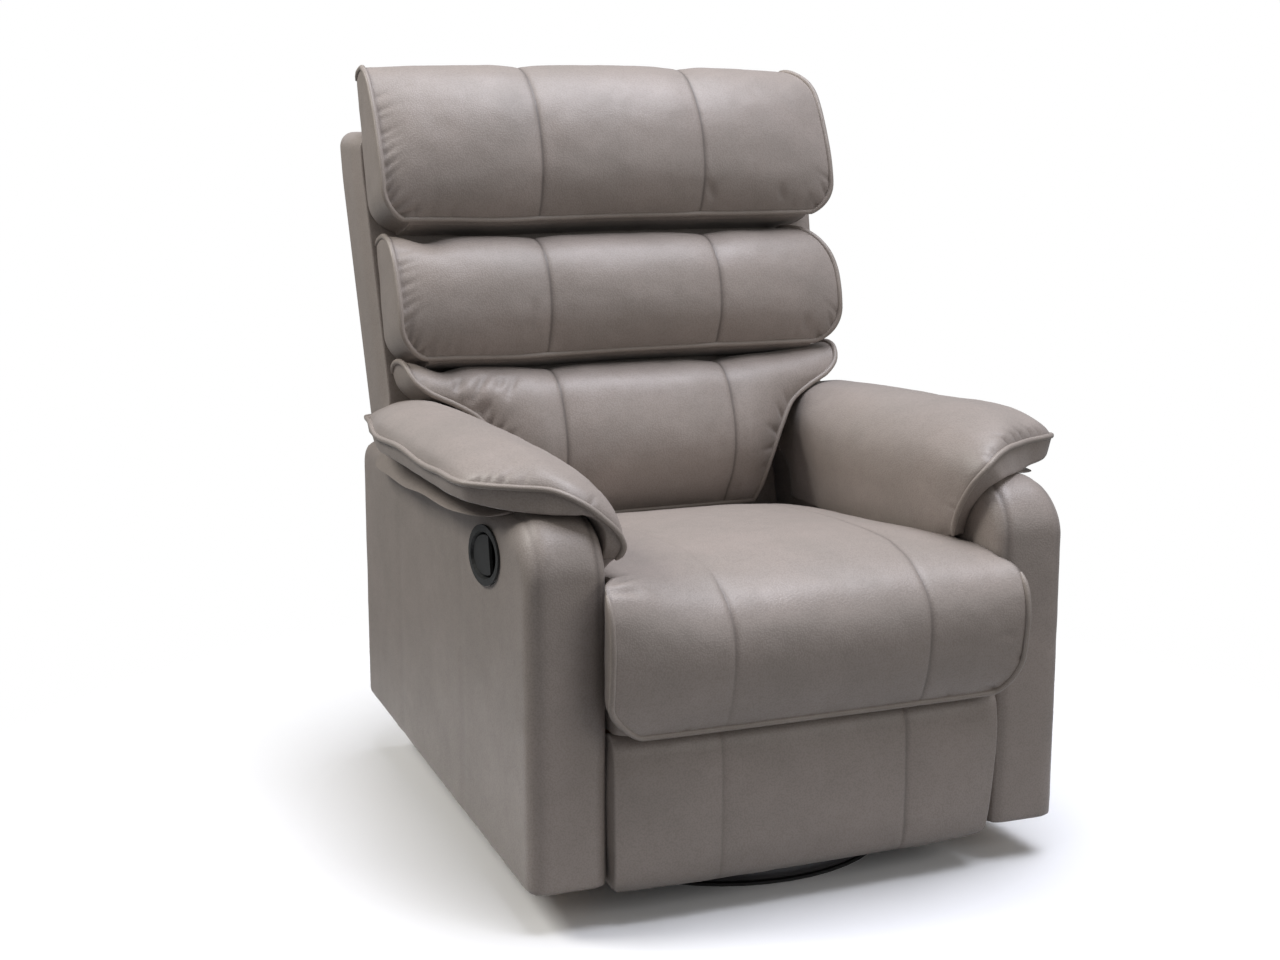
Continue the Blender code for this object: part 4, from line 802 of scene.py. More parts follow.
for start, end, depth in (((-0.276, -0.422, 0.445), (-0.236, -0.400, 0.446), 0.0050),
                          ((-0.272, -0.405, 0.445), (-0.244, -0.365, 0.446), 0.0045),
                          ((-0.282, -0.438, 0.440), (-0.244, -0.432, 0.438), 0.0035),
                          ((0.276, -0.440, 0.330), (0.250, -0.452, 0.335), 0.0025)):
    press_fold(seat_cover, start, end, depth, 0.0065)


# Arms: a timber frame inside a padded leatherette cover.
# The cover is pulled over the frame from above and stapled under its bottom edge; a separate strip runs
# up the front and over the top, sewn in along both sides.

ARM_IN = 0.273
ARM_OUT = 0.377
ARM_FRONT_Y = -0.408
ARM_REAR_Y = 0.387
ARM_TOP_Z = 0.520
ARM_BOTTOM_FRONT_Z = 0.055
ARM_BOTTOM_REAR_Z = 0.094
ARM_WALL = 0.014
ARM_ROLL = 0.072
ARM_REAR_ROLL = 0.086
ARM_CRUMPLE = 0.0004

CUP_Y = -0.2424
CUP_Z = 0.4486
CUP_TILT = math.radians(-9.8)
CUP_OPENING = (0.0578, 0.0348)

dress(planed_timber, "arm_frame_left", "arm_frame_right")


def round_corner(first, second, first_edge, second_edge, radius, first_way, second_way):
    """Rounds the corner where two faces of a block meet, seen along that corner."""
    a = (first - (first_edge - first_way * radius)) * first_way
    b = (second - (second_edge - second_way * radius)) * second_way
    near = (a > 0) & (b > 0)
    reach = np.maximum(a, b)
    length = np.maximum(np.hypot(a, b), 1e-9)
    share = np.where(near, reach / length, 1.0)
    first = np.where(near, first_edge - first_way * radius + first_way * a * share, first)
    second = np.where(near, second_edge - second_way * radius + second_way * b * share, second)
    return first, second


def turn_out(piece):
    """Turns the faces of a mirrored cover outwards again."""
    take_up(piece)
    bpy.ops.object.mode_set(mode='EDIT')
    bpy.ops.mesh.select_all(action='SELECT')
    bpy.ops.mesh.flip_normals()
    bpy.ops.object.mode_set(mode='OBJECT')


def cut_away(piece, chosen):
    """Cuts away the faces that a test on a face and its middle chooses."""
    take_up(piece)
    bpy.ops.object.mode_set(mode='EDIT')
    bpy.ops.mesh.select_mode(type='FACE')
    bpy.ops.mesh.select_all(action='DESELECT')
    shape = bmesh.from_edit_mesh(piece.data)
    for face in shape.faces:
        face.select_set(chosen(face, face.calc_center_median()))
    bmesh.update_edit_mesh(piece.data)
    bpy.ops.mesh.delete(type='FACE')
    bpy.ops.object.mode_set(mode='OBJECT')


def in_open_bottom(face, middle):
    """Whether a face lies in the arm's open underside."""
    inside_x = ARM_IN + ARM_WALL < abs(middle.x) < ARM_OUT - ARM_WALL
    inside_y = ARM_FRONT_Y + ARM_WALL < middle.y < ARM_REAR_Y - ARM_WALL
    return face.normal.z < -0.9 and middle.z < 0.12 and inside_x and inside_y


def in_cup_opening(face, middle):
    """Whether a face of the outer wall lies where the release cup is let in."""
    off_y, off_z = middle.y - CUP_Y, middle.z - CUP_Z
    along = off_y * math.cos(CUP_TILT) + off_z * math.sin(CUP_TILT)
    rise = off_z * math.cos(CUP_TILT) - off_y * math.sin(CUP_TILT)
    return middle.x < -ARM_OUT + 0.01 and math.hypot(along / CUP_OPENING[0], rise / CUP_OPENING[1]) < 1


def sew_arm(label, side):
    """One arm's cover: a block rounded at the front, rear and sides, with its sewn lines, open below."""
    cross = ([ARM_IN, ARM_IN + 0.006] + spaced(ARM_IN + 0.012, ARM_OUT - 0.012, 0.008)
             + [ARM_OUT - 0.006, ARM_OUT])
    along = [ARM_FRONT_Y, ARM_FRONT_Y + 0.006] + spaced(ARM_FRONT_Y + 0.012, ARM_FRONT_Y + 0.078, 0.006)
    along += spaced(ARM_FRONT_Y + 0.089, ARM_REAR_Y - 0.120, 0.0115)
    along += spaced(ARM_REAR_Y - 0.110, ARM_REAR_Y - 0.010, 0.010) + [ARM_REAR_Y - 0.005, ARM_REAR_Y]
    upward = spaced(0.0, 0.80, 0.027) + spaced(0.825, 1.0, 0.0146)
    block, shares = cut_block("arm_cover_skin_" + label, cross, along, upward)
    x, y, rise = shares.T
    rearward = (y - ARM_FRONT_Y) / (ARM_REAR_Y - ARM_FRONT_Y)
    bottom = ARM_BOTTOM_FRONT_Z + (ARM_BOTTOM_REAR_Z - ARM_BOTTOM_FRONT_Z) * rearward
    z = bottom + (ARM_TOP_Z - bottom) * rise
    under = np.isclose(rise, 0.0)
    flat_y = y.copy()
    y, z = round_corner(y, z, ARM_FRONT_Y, ARM_TOP_Z, ARM_ROLL, -1, 1)
    y, z = round_corner(y, z, ARM_REAR_Y, ARM_TOP_Z, ARM_REAR_ROLL, 1, 1)
    ahead = y - (ARM_FRONT_Y + ARM_ROLL)
    above = z - (ARM_TOP_Z - ARM_ROLL)
    rolled = (ahead < 0) & (above > 0)
    from_roll = np.maximum(np.hypot(ahead, above), 1e-6)
    nearer_front = y - ARM_FRONT_Y < ARM_TOP_Z - z
    depth = np.where(rolled, ARM_ROLL - from_roll, np.minimum(y - ARM_FRONT_Y, ARM_TOP_Z - z))
    way_y = np.where(rolled, ahead / from_roll, np.where(nearer_front, -1.0, 0.0))
    way_z = np.where(rolled, above / from_roll, np.where(nearer_front, 0.0, 1.0))
    for edge, way, plain, extra in ((ARM_OUT, 1, 0.024, 0.018), (ARM_IN, -1, 0.022, 0.008)):
        x, raised = round_corner(x, -depth, edge, 0.0, plain + extra * way_z, way, 1)
        y = y + way_y * (raised + depth)
        z = z + way_z * (raised + depth)
        depth = -raised
    x, y = round_corner(x, y, ARM_OUT, ARM_REAR_Y, 0.010, 1, 1)
    x, y = round_corner(x, y, ARM_IN, ARM_REAR_Y, 0.010, -1, 1)
    set_points(block, np.column_stack([side * x, y, z]))
    if side < 0:
        turn_out(block)
    wall = np.isclose(shares[:, 0], ARM_OUT)
    dent = np.zeros(len(x))
    shade_amount = np.zeros(len(x))
    # The sewn lines are dented and painted darker: painted shade in their grooves.
    for seam_y in (0.180, -0.130):
        line = np.exp(-((flat_y - seam_y) / 0.0075) ** 2) * wall
        dent += 0.0010 * line
        shade_amount += 0.10 * line
    strip = (np.isclose(flat_y, ARM_FRONT_Y) | np.isclose(rise, 1.0) & (flat_y < -0.15)) & ~under
    # The front strip's seams are painted darker by dark: painted shade in the seam grooves, stronger towards
    # the top.
    for seam_x, deep, dark in ((ARM_IN + 0.012, 0.0022, 0.45), (ARM_OUT - 0.012, 0.0012, 0.22)):
        line = strip * np.exp(-((shares[:, 0] - seam_x) / 0.004) ** 2) * (0.25 + 0.75 * ease(z, 0.30, 0.46))
        dent += deep * line
        shade_amount += dark * line
    set_points(block, points_of(block) - outward(block) * dent[:, None])
    paint_seam_shade(block, shade_amount)
    cut_away(block, in_open_bottom)
    round_off(block)
    crumple(block, ARM_CRUMPLE)
    if side < 0:
        cut_away(block, in_cup_opening)
    finish_cover(block, "chair", "arm_cover_" + label)


for label, side in SIDES:
    sew_arm(label, side)


# Arm pads: soft pillow tops that overhang the arm's outer face and drape over the inner one.
# A domed top panel meets a narrow boxing band in a piped edge, and the foam inside lies on the arm's top.

PAD_REAR_Y = 0.262
PAD_RIM_Z = 0.5525
PAD_PIPING = 0.0040


def swell(share, power):
    """1 in the middle and 0 at shares of -1 and 1, fuller with a higher power."""
    return np.sqrt(np.maximum(0.0, 1 - np.abs(share) ** power))


PAD_FRONTS = {"left": [(0.2500, -0.3278, 0.4380), (0.2495, -0.3300, 0.4560), (0.2490, -0.3440, 0.4860),
                       (0.2535, -0.3680, 0.5180), (0.2710, -0.3800, 0.5430), (0.3010, -0.3690, 0.5560),
                       (0.3400, -0.3450, 0.5590), (0.3780, -0.3230, 0.5595), (0.4080, -0.3110, 0.5590),
                       (0.4290, -0.2970, 0.5570), (0.4400, -0.2730, 0.5550)],
              "right": [(0.2560, -0.3820, 0.4620), (0.2505, -0.3870, 0.4700), (0.2490, -0.3915, 0.4790),
                        (0.2540, -0.3945, 0.4920), (0.2770, -0.3960, 0.5170), (0.3040, -0.3955, 0.5377),
                        (0.3318, -0.3880, 0.5505), (0.3650, -0.3650, 0.5525), (0.3920, -0.3450, 0.5525),
                        (0.4100, -0.3240, 0.5525), (0.4190, -0.2990, 0.5525)]}


def pad_lines(label, share):
    """The top panel's and the underside's line at one place along the pad, from the inner hem outwards."""
    full = swell(2 * share - 1, 5.0)
    behind = ease(share, 0.0, 0.45)
    middle_y = ARM_FRONT_Y + (PAD_REAR_Y - ARM_FRONT_Y) * share
    fade = 0.40 + 0.60 * (1 - ease(middle_y, 0.06, 0.20))
    face = ARM_IN - 0.0006
    hem = PAD_FRONTS[label][0][2]
    hem = hem + (0.397 - hem) * ease(share, 0.0, 0.14)
    tip = ARM_OUT + 0.050 - 0.028 * ease(middle_y, 0.04, 0.30)
    rim = (PAD_RIM_Z + 0.0022 * math.sin(15.0 * share + 0.5)
           * ease(share, 0.05, 0.2) * (1 - ease(share, 0.85, 1.0)))
    outer = (0.013 - 0.013 * ease(share, 0.08, 0.45) - 0.007 * ease(share, 0.40, 0.85)
             if label == "left" else 0.0)
    inner = 0.6 * outer if label == "left" else -0.007
    fore = np.array(PAD_FRONTS[label])[:, (0, 2)]
    fore[-1, 0] += (tip - fore[-1, 0]) * ease(share, 0.0, 0.16)
    aft = np.array([(face - 0.010 * fade, hem), (face - 0.020 * fade, 0.450), (face - 0.023 * fade, 0.478),
                    (face - 0.018 * fade, 0.504), (0.2730, 0.5290), (0.3000, 0.5450), (0.3320, 0.5520),
                    (0.3680, 0.5530), (tip - 0.030, rim + 0.001), (tip - 0.010, rim + 0.001), (tip, rim)])
    fullest = np.array([(face - 0.010 * fade, hem), (face - 0.026 * fade, 0.452),
                        (face - 0.031 * fade, 0.490), (face - 0.024 * fade, 0.540 + inner),
                        (0.2740, 0.5700 + inner), (0.3020, 0.5850 + inner), (0.3320, 0.5890 + outer),
                        (0.3700, 0.5860 + outer), (tip - 0.022, 0.5790 + outer),
                        (tip - 0.007, 0.5680 + 0.6 * outer), (tip, rim)])
    plain = fore + (aft - fore) * behind
    top = plain + (fullest - plain) * full
    base = [(face, hem)]
    for angle in (180, 157, 135, 112, 90):
        turn = math.radians(angle)
        base.append((ARM_IN + 0.030 + 0.0308 * math.cos(turn), ARM_TOP_Z - 0.030 + 0.0308 * math.sin(turn)))
    under = ARM_TOP_Z + 0.0006
    base += [(ARM_OUT - 0.040, under), (ARM_OUT + 0.004, under + 0.003), (top[-1][0] - 0.004, under + 0.0085)]
    return top, base


PAD_CREASES = {"left": [(0.14, 0.0040, 0.5), (0.20, 0.0060, 0.6), (0.27, 0.0070, 0.6), (0.335, 0.0062, 0.6),
                        (0.40, 0.0068, 0.5), (0.52, 0.0034, 0.4), (0.57, 0.0034, 0.4), (0.86, 0.0030, 0.3)],
               "right": [(0.04, 0.0030, 0.3), (0.09, 0.0034, 0.4), (0.15, 0.0030, 0.4), (0.26, 0.0018, 0.3),
                         (0.62, 0.0018, 0.2)]}


def sew_pad(label, side):
    """One arm's pad, with gathers along its front edge and piping round its top panel."""
    across = np.linspace(0, 1, 54)
    along = np.r_[spaced(0.0, 0.12, 0.010), spaced(0.134, 0.90, 0.0145), spaced(0.913, 1.0, 0.0125)]
    up = np.linspace(0, 1, 7)
    block, shares = cut_block("arm_pad_cover_" + label, across, along, up)
    a, share, t = shares.T
    spots = np.empty_like(shares)
    for value in np.unique(share):
        row = share == value
        top, base = pad_lines(label, value)
        high = smooth_line(top, a[row])
        low = smooth_line(base, a[row])
        cross = low + (high - low) * t[row][:, None]
        front = smooth_line(PAD_FRONTS[label], a[row])[:, 1] + 0.006 * (1 - t[row])
        rear = PAD_REAR_Y - 0.075 * (1 - ease(a[row], 0.12, 0.45))
        y = front + (rear - front) * value
        spots[row] = np.column_stack([side * cross[:, 0], y, cross[:, 1]])
    set_points(block, spots)
    if side < 0:
        turn_out(block)
    above = np.isclose(t, 1.0)
    inner = np.isclose(a, 0.0)
    outer = np.isclose(a, 1.0)
    fore = np.isclose(share, 0.0)
    aft = np.isclose(share, 1.0)
    free = np.where(above & ~outer & ~fore & ~aft & ~inner, ease(a, 0.04, 0.30), 0.0)
    stuff(block, free, 2.0, 0.007)
    placed = points_of(block)
    rim = above & (outer | fore | aft)
    sharpen(block, rim)
    # The piped rim is painted darker: painted shade along the cord.
    paint_seam_shade(block, np.where(rim, 0.5, 0.0))
    route = []
    follow(route, placed, above & aft & (a > 0.25), a)
    follow(route, placed, above & outer, -share)
    corner = len(route)
    follow(route, placed, above & fore, -a)
    route = np.array(route)
    for _ in range(4):
        near = slice(corner - 5, corner + 5)
        route[near] = 0.5 * route[near] + 0.25 * (route[corner - 6:corner + 4] + route[corner - 4:corner + 6])
    round_off(block)
    crumple(block, CUSHION_CRUMPLE)
    draw_gathers(block, route[corner:], PAD_CREASES[label], 0.019, 0.0036, (0, 1, 0.2))
    finish_cover(block, "chair", "arm_pad_" + label)
    pipe_edge("arm_pad_piping_" + label, route, PAD_PIPING, "chair")


for label, side in SIDES:
    sew_pad(label, side)


# Arm flaps: thin leatherette flaps sewn under the pads' outer edges.
# Two layers turned and stitched, so the free edge is rounded, and it hangs a little way off the arm.

FLAP_FRONT_Y = -0.302
FLAP_LENGTH = 0.572
FLAP_WIDTH = {"left": 0.068, "right": 0.051}
FLAP_SLOPE = {"left": (9, 9), "right": (15, 36)}
FLAP_THICK = 0.0046
FLAP_WAVE = 0.0016
FLAP_HEM_X = 0.3592
FLAP_HEM_Z = 0.5134


def sew_flap(label, side):
    """One arm's flap, hanging from its hem with a slope that may grow towards the rear."""
    block, shares = cut_block("arm_flap_cover_" + label, np.linspace(0, 1, 9), np.linspace(0, 1, 60),
                              np.linspace(0, 1, 3))
    a, share, t = shares.T
    y = FLAP_FRONT_Y + FLAP_LENGTH * share
    full = 0.10 + 0.90 * swell(1 - share, 12.0) * swell(np.maximum(0.0, 2 * share - 1), 11.0)
    reach = full * FLAP_WIDTH[label]
    slope_front, slope_rear = FLAP_SLOPE[label]
    slope = np.radians(slope_front + (slope_rear - slope_front) * ease(share, 0.1, 0.9))
    thick = FLAP_THICK * np.sqrt(np.maximum(0.02, 1 - a**6))
    wave = FLAP_WAVE * np.sin(share * 17.0 + 0.6) * a
    x = FLAP_HEM_X + reach * a * np.cos(slope) + (t - 0.5) * thick * np.sin(slope)
    z = FLAP_HEM_Z - reach * a * np.sin(slope) + (t - 0.5) * thick * np.cos(slope) + wave
    set_points(block, np.column_stack([side * x, y, z]))
    if side < 0:
        turn_out(block)
    round_off(block)
    finish_cover(block, "chair", "arm_flap_" + label)


for label, side in SIDES:
    sew_flap(label, side)


# Release cup, paddle and cable.
# A moulded black oval cup is let into the arm's side; a hinged paddle fills its rear part and pulls a
# sheathed cable.

moulded_black = worn_finish("moulded_black", shade(33, 35, 35), shade(46, 48, 47), 0.56, 0.0, 1200.0, 0.00012)
cable_sheath = worn_finish("cable_sheath", shade(24, 24, 25), shade(48, 47, 46), 0.5, 0.0, 800.0, 0.0001)
dress(moulded_black, "release_cup", "release_paddle")
dress(cable_sheath, "release_cable")


# Footrest: a board on the linkage's brackets with a padded leatherette panel on its front.
# The panel's three parts meet in two seams that line up with the seat's.

dress(black_lining, "footrest_board")

FOOT_HALF = 0.2720
FOOT_FRONT = 0.3803
FOOT_SEAMS = (0.130, 0.131)
FOOT_CORNER = 0.014
FOOT_BOTTOM_Z = 0.043

foot_edge = [(0.002, 0.243), (0.008, 0.2470), (0.020, 0.246), (0.031, 0.232), (0.036, 0.205),
             (0.037, 0.160), (0.037, 0.110), (0.036, 0.075), (0.032, 0.055), (0.022, 0.0445)]
foot_middle = [(0.002, 0.243), (0.010, 0.2470), (0.026, 0.246), (0.040, 0.230), (0.045, 0.205),
               (0.046, 0.160), (0.046, 0.110), (0.044, 0.075), (0.038, 0.052), (0.024, 0.0415)]


def foot_half_at(forward, height, right):
    """Straight sides with rounded lower corners; the right side slants in a little further down."""
    below = np.clip((FOOT_BOTTOM_Z + FOOT_CORNER - height) / FOOT_CORNER, 0.0, 1.0)
    slant = np.where(right, 0.0110, 0.0015) * ease(0.19 - height, 0.0, 0.15)
    return FOOT_HALF - FOOT_CORNER * (1 - np.sqrt(1 - 0.98 * below**2)) - slant


foot_rows = [-1, -0.992, -0.975, -0.95, -0.915, -0.87] + list(np.linspace(-0.80, 1, 22))
foot_block, foot_shares = cut_block("footrest_cover", columns(FOOT_HALF, FOOT_SEAMS),
                                    np.linspace(-1, 1, 7), foot_rows)
foot_spots = pull_cover(foot_shares, FOOT_HALF, FOOT_SEAMS, foot_half_at, foot_edge, foot_middle, 0.10,
                        [(0.0, 0.046), (0.0, 0.234)],
                        [(0.022, 0.0445), (0.012, FOOT_BOTTOM_Z), (0.0, 0.046)], 5.0)
sew_cushion("footrest_cover", "footrest", "footrest_pad", FOOT_HALF, foot_shares, foot_block, foot_spots,
            lambda p: np.column_stack([p[:, 0], -FOOT_FRONT - p[:, 1], p[:, 2]]), FOOT_SEAMS,
            dip=0.0008, pressure=2.0, reach=0.006, hold=0.6, dark=0.45,
            shown=np.where(foot_shares[:, 0] < 0, 0.6, 1.0))


# Back: a timber frame on two hinge straps inside an upholstered shell.
# The shell is a shallow box of board and foam covered in leatherette, narrow between the arms and wide
# above them.

BACK_LEAN = math.radians(13.9)
BACK_FOOT = (0.2074, 0.300)

dress(planed_timber, "back_frame")
dress(bright_zinc, "back_bracket_left", "back_bracket_right")


def lean_back(spots):
    """From across, forward of the shell's front, and height along the back, to the chair's frame."""
    x, forward, height = spots.T
    y = BACK_FOOT[0] - forward * math.cos(BACK_LEAN) + height * math.sin(BACK_LEAN)
    z = BACK_FOOT[1] + forward * math.sin(BACK_LEAN) + height * math.cos(BACK_LEAN)
    return np.column_stack([x, y, z])


SHELL_NARROW = 0.262
SHELL_WING = 0.367
SHELL_WING_TOP = 0.380
SHELL_FLARE = (0.258, 0.268)
SHELL_FLARE_RISE = 0.37
SHELL_TOP = 0.712
SHELL_CORNER = 0.024
SHELL_REAR = 0.095
SHELL_TAPER = 0.007
SHELL_TOP_SLANT = 0.026


def shell_half_at(height):
    """Narrow between the arms, flaring to the wings above them, with rounded top corners."""
    flare_low, flare_high = SHELL_FLARE
    low = SHELL_NARROW + (SHELL_WING - SHELL_NARROW) * ease(height, flare_low, flare_high)
    upward = np.clip((height - flare_high) / SHELL_FLARE_RISE, 0.0, 1.0)
    half = np.where(height < flare_high, low, SHELL_WING + (SHELL_WING_TOP - SHELL_WING) * upward)
    above = np.clip((height - (SHELL_TOP - SHELL_CORNER)) / SHELL_CORNER, 0.0, 1.0)
    return half - SHELL_CORNER * (1 - np.sqrt(1 - 0.999 * above**2))


shell_rows = spaced(-0.14, 0.044, 0.02) + [0.050, 0.054, 0.058] + spaced(0.068, 0.248, 0.014)
shell_rows += [0.254, 0.258, 0.261, 0.263, 0.265, 0.268, 0.272, 0.284] + spaced(0.298, 0.640, 0.014)
shell_rows += [0.660, 0.674, 0.686, 0.692, 0.698, 0.703, 0.707, 0.7095, 0.7112, SHELL_TOP]
shell_across = np.r_[-1.0, -0.985, -0.96, np.linspace(-0.92, 0.92, 48), 0.96, 0.985, 1.0]
shell_deep = np.r_[0, 0.05, 0.12, np.linspace(0.2, 0.8, 6), 0.88, 0.95, 1.0]
shell_block, shell_shares = cut_block("back_shell_cover", shell_across, shell_deep, shell_rows)
su, sd, sh = shell_shares.T
shell_x = su * (shell_half_at(sh) - SHELL_TAPER * ease(sh, 0.26, 0.28) * (1 - ease(sd, 0.0, 0.4)))
shell_height = sh - SHELL_TOP_SLANT * (1 - sd) * ease(sh, 0.58, 0.70)
shell_forward = -0.083 * (1 - ease(sh, 0.050, 0.058)) * (1 - sd) - SHELL_REAR * sd
set_points(shell_block, lean_back(np.column_stack([shell_x, shell_forward, shell_height])))
sharpen(shell_block, np.isclose(np.abs(su), 1.0) & (np.isclose(sd, 1.0) | np.isclose(sd, 0.0)))
round_off(shell_block)
finish_cover(shell_block, "back", "back_shell")


# Back pillows: headrest, middle and lumbar pillow, stacked on the shell.
# Each is a stuffed leatherette case whose front panel wraps over the top, drawn in at two seams, with a
# side and underside boxing set in with piping.

PILLOW_PIPING = 0.0043
RIGHT_NARROWER = 0.010


def pillow_half(half, low, corner, high, left_shoulder, right_shoulder):
    """Half width of a pillow with rounded lower corners; its right top corner hangs rounder than the left."""
    def at(forward, height, right):
        shoulder = np.where(right, right_shoulder, left_shoulder)
        below = np.clip((low + corner - height) / corner, 0.0, 1.0)
        above = np.clip((height - high + shoulder) / shoulder, 0.0, 1.0)
        return (half - RIGHT_NARROWER * right - corner * (1 - np.sqrt(1 - 0.985 * below**2))
                - 0.8 * shoulder * (1 - np.sqrt(1 - 0.96 * above**2)))
    return at


LUMBAR_SIDE = [(0.060, 0.196), (0.0925, 0.201), (0.146, 0.213), (0.200, 0.235), (0.2376, 0.258),
               (0.262, 0.294), (0.280, 0.328), (0.300, 0.347), (0.325, 0.354), (0.370, 0.354)]


def lumbar_half(forward, height, right):
    """Wide above the arm pads, then slanting in between the arms."""
    line = smooth_line(LUMBAR_SIDE, np.linspace(0.0, 1.0, 400))
    return np.interp(height, line[:, 0], line[:, 1]) - 0.006 * right


# Each pillow: name, node, seams, half width, its outline, the side's and the middle's line, the share of
# that line on the top, the foot of its rear, and the notch in its left top corner.
PILLOWS = [
    ("headrest_cover", "headrest_pillow", (0.133, 0.130), 0.370,
     pillow_half(0.370, 0.536, 0.045, 0.782, 0.012, 0.062),
     [(0.002, 0.766), (0.016, 0.777), (0.038, 0.776), (0.063, 0.757), (0.084, 0.716),
      (0.099, 0.662), (0.106, 0.612), (0.104, 0.577), (0.097, 0.552), (0.087, 0.538)],
     [(0.002, 0.766), (0.024, 0.779), (0.062, 0.777), (0.098, 0.756), (0.127, 0.716),
      (0.142, 0.666), (0.143, 0.624), (0.135, 0.582), (0.118, 0.553), (0.097, 0.536)], 0.30, 0.530, 0.0),
    ("middle_pillow_cover", "middle_back_pillow", (0.139, 0.137), 0.362,
     pillow_half(0.362, 0.331, 0.050, 0.526, 0.012, 0.098),
     [(0.002, 0.516), (0.018, 0.522), (0.046, 0.521), (0.078, 0.508), (0.099, 0.479),
      (0.109, 0.440), (0.112, 0.400), (0.107, 0.368), (0.099, 0.345), (0.088, 0.332)],
     [(0.002, 0.508), (0.024, 0.514), (0.062, 0.514), (0.099, 0.505), (0.127, 0.481),
      (0.142, 0.447), (0.143, 0.412), (0.135, 0.373), (0.118, 0.347), (0.098, 0.331)], 0.33, 0.326, 0.011),
    ("lumbar_cover", "lumbar_pillow", (0.134, 0.139), 0.354, lumbar_half,
     [(0.002, 0.322), (0.018, 0.332), (0.050, 0.334), (0.082, 0.322), (0.101, 0.290),
      (0.110, 0.246), (0.113, 0.200), (0.107, 0.155), (0.088, 0.118), (0.058, 0.089)],
     [(0.002, 0.306), (0.024, 0.313), (0.064, 0.314), (0.102, 0.305), (0.128, 0.280),
      (0.140, 0.242), (0.143, 0.200), (0.134, 0.155), (0.108, 0.118), (0.066, 0.087)], 0.32, 0.092, 0.012),
]
corner_creases = [(0.088, 0.0010, -0.2), (0.104, 0.0016, -0.3), (0.116, 0.0010, -0.2), (0.133, 0.0020, -0.4),
                  (0.146, 0.0014, -0.4), (0.159, 0.0026, -0.6), (0.174, 0.0034, -0.7), (0.187, 0.0040, -0.9),
                  (0.199, 0.0048, -0.9), (0.211, 0.0050, -0.6), (0.222, 0.0048, 0.0), (0.234, 0.0042, 0.5),
                  (0.249, 0.0034, 0.6), (0.268, 0.0022, 0.4), (0.295, 0.0012, 0.2), (0.40, 0.0012, 0.2),
                  (0.61, 0.0014, -0.2), (0.72, 0.0018, -0.4), (0.742, 0.0028, -0.5), (0.760, 0.0034, 0.0),
                  (0.778, 0.0030, 0.6), (0.797, 0.0018, 0.5)]
FOLDS = {
    "headrest_cover": [((0.136, 0.140, 0.572), (0.146, 0.128, 0.545), 0.0035),
                       ((0.266, 0.130, 0.566), (0.273, 0.118, 0.540), 0.0040)],
    "middle_pillow_cover": [((-0.165, 0.140, 0.400), (-0.172, 0.130, 0.352), 0.0025),
                            ((0.288, 0.128, 0.358), (0.296, 0.116, 0.335), 0.0032)],
    "lumbar_cover": [((-0.222, 0.122, 0.300), (-0.256, 0.130, 0.248), 0.0085),
                     ((-0.244, 0.118, 0.305), (-0.270, 0.127, 0.262), 0.0075),
                     ((-0.280, 0.116, 0.306), (-0.292, 0.120, 0.278), 0.0055),
                     ((-0.200, 0.124, 0.302), (-0.218, 0.132, 0.270), 0.0045)]}
pillow_rows = [-1, -0.995, -0.984, -0.966, -0.94, -0.91, -0.875] + list(np.linspace(-0.83, 1, 32))
for name, node, seams, half, half_at, edge, middle, turn, foot, notch in PILLOWS:
    block, shares = cut_block(name, columns(half, seams), np.linspace(-1, 1, 14), pillow_rows)
    reach, low = edge[-1]
    spots = pull_cover(shares, half, seams, half_at, edge, middle, turn, [(0.002, foot), edge[0]],
                       [edge[-1], (0.90 * reach, low - 0.007), (0.60 * reach, low - 0.010),
                        (0.25 * reach, low - 0.009), (0.002, foot)])
    u = shares[:, 0]
    spots[:, 2] -= (notch * np.exp(-((u + 0.84) / 0.07) ** 2)
                    * ease(spots[:, 2], edge[1][1] - 0.05, edge[1][1]))
    spots[:, 2] -= 0.0035 * np.exp(-((u + 0.5) / 0.28) ** 2) * (1 - ease(shares[:, 2], -1.0, -0.4))
    cover = sew_cushion(name, "back", node, half, shares, block, spots, lean_back, seams,
                        dip=0.004, pressure=4.0, reach=0.020, hold=0.92, piping=PILLOW_PIPING,
                        creases=corner_creases, crease_length=0.026, dark=0.75)
    for start, end, depth in FOLDS[name]:
        press_fold(cover, lean_back(np.array([start]))[0], lean_back(np.array([end]))[0], depth, 0.0075)


# Studio: a pale floor that fades into a white surround and keeps the chair's shadow.
# A large soft light hangs above, smaller ones stand in front and at the side, and the camera stands where the
# photograph was taken from.

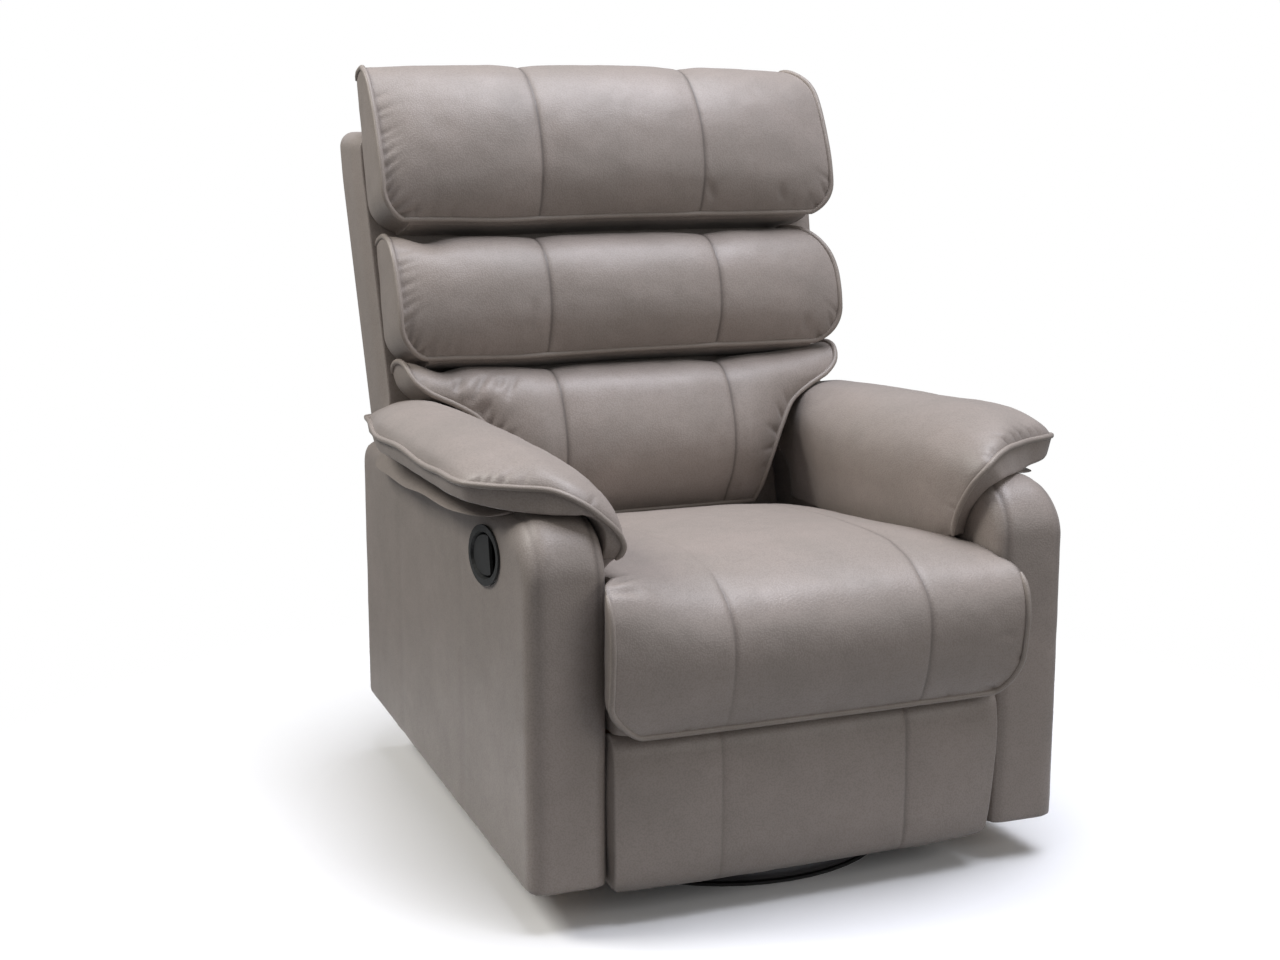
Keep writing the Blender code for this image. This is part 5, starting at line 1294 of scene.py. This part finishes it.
start_clear()
bpy.ops.mesh.primitive_plane_add(size=12)
floor = bpy.context.object
floor.name = "studio_floor"
floor_paint, floor_tree, floor_shader = new_finish("studio_white")
rays = floor_tree.nodes.new('ShaderNodeLightPath')
seen = reckon(floor_tree, 'MAXIMUM', rays.outputs["Is Camera Ray"], rays.outputs["Is Glossy Ray"])
join(floor_tree, blend_colours(floor_tree, seen, (0.22, 0.22, 0.22, 1), (0.95, 0.95, 0.95, 1)),
     floor_shader.inputs["Base Color"])
spot = floor_tree.nodes.new('ShaderNodeTexCoord')
away = texture_node(floor_tree, 'ShaderNodeVectorMath', operation='LENGTH')
join(floor_tree, spot.outputs["Object"], away.inputs[0])
join(floor_tree, between(floor_tree, away.outputs["Value"], 0.55, 1.15, 1.0, 0.0),
     floor_shader.inputs["Alpha"])
floor_shader.inputs["Roughness"].default_value = 0.9
floor_shader.inputs["Specular IOR Level"].default_value = 0.0
floor.data.materials.append(floor_paint)

world = bpy.data.worlds.new("studio")
bpy.context.scene.world = world
world.use_nodes = True
air = world.node_tree
backdrop = air.nodes["Background"]
sight = air.nodes.new('ShaderNodeLightPath')
plain = reckon(air, 'MAXIMUM', sight.outputs["Is Camera Ray"], sight.outputs["Is Transmission Ray"])
join(air, blend_colours(air, plain, (0.20, 0.20, 0.205, 1), (1, 1, 1, 1)), backdrop.inputs["Color"])
backdrop.inputs["Strength"].default_value = 1.0

for name, place, aim, size, power, tint in (
        ("top_softbox", (0.8, -0.5, 5.0), (0, -0.1, 0.4), 3.4, 280, (0.885, 0.908, 1.0)),
        ("front_softbox", (1.8, -3.8, 2.2), (0, 0, 0.6), 2.4, 38, (1.0, 0.982, 0.955)),
        ("side_softbox", (-2.7, 0.9, 3.2), (0, 0, 0.4), 1.4, 90, (1.0, 0.980, 0.930))):
    lamp = bpy.data.lights.new(name, 'AREA')
    lamp.shape = 'SQUARE'
    lamp.size = size
    lamp.energy = power
    lamp.color = tint
    light = bpy.data.objects.new(name, lamp)
    bpy.context.scene.collection.objects.link(light)
    light.location = place
    sight_line = np.array(aim) - np.array(place)
    light.rotation_euler = (math.atan2(math.hypot(sight_line[0], sight_line[1]), -sight_line[2]), 0,
                            math.atan2(-sight_line[0], sight_line[1]))

lens = bpy.data.cameras.new("photo_camera")
lens.sensor_width = 36
lens.lens = 52.76
lens.clip_start = 0.05
camera = bpy.data.objects.new("photo_camera", lens)
bpy.context.scene.collection.objects.link(camera)
camera.location = (-1.0633, -2.4402, 0.9778)
camera.rotation_euler = (math.radians(90 - 10.70), 0, math.radians(-22.18))
bpy.context.scene.camera = camera
bpy.context.scene.view_settings.view_transform = 'Standard'
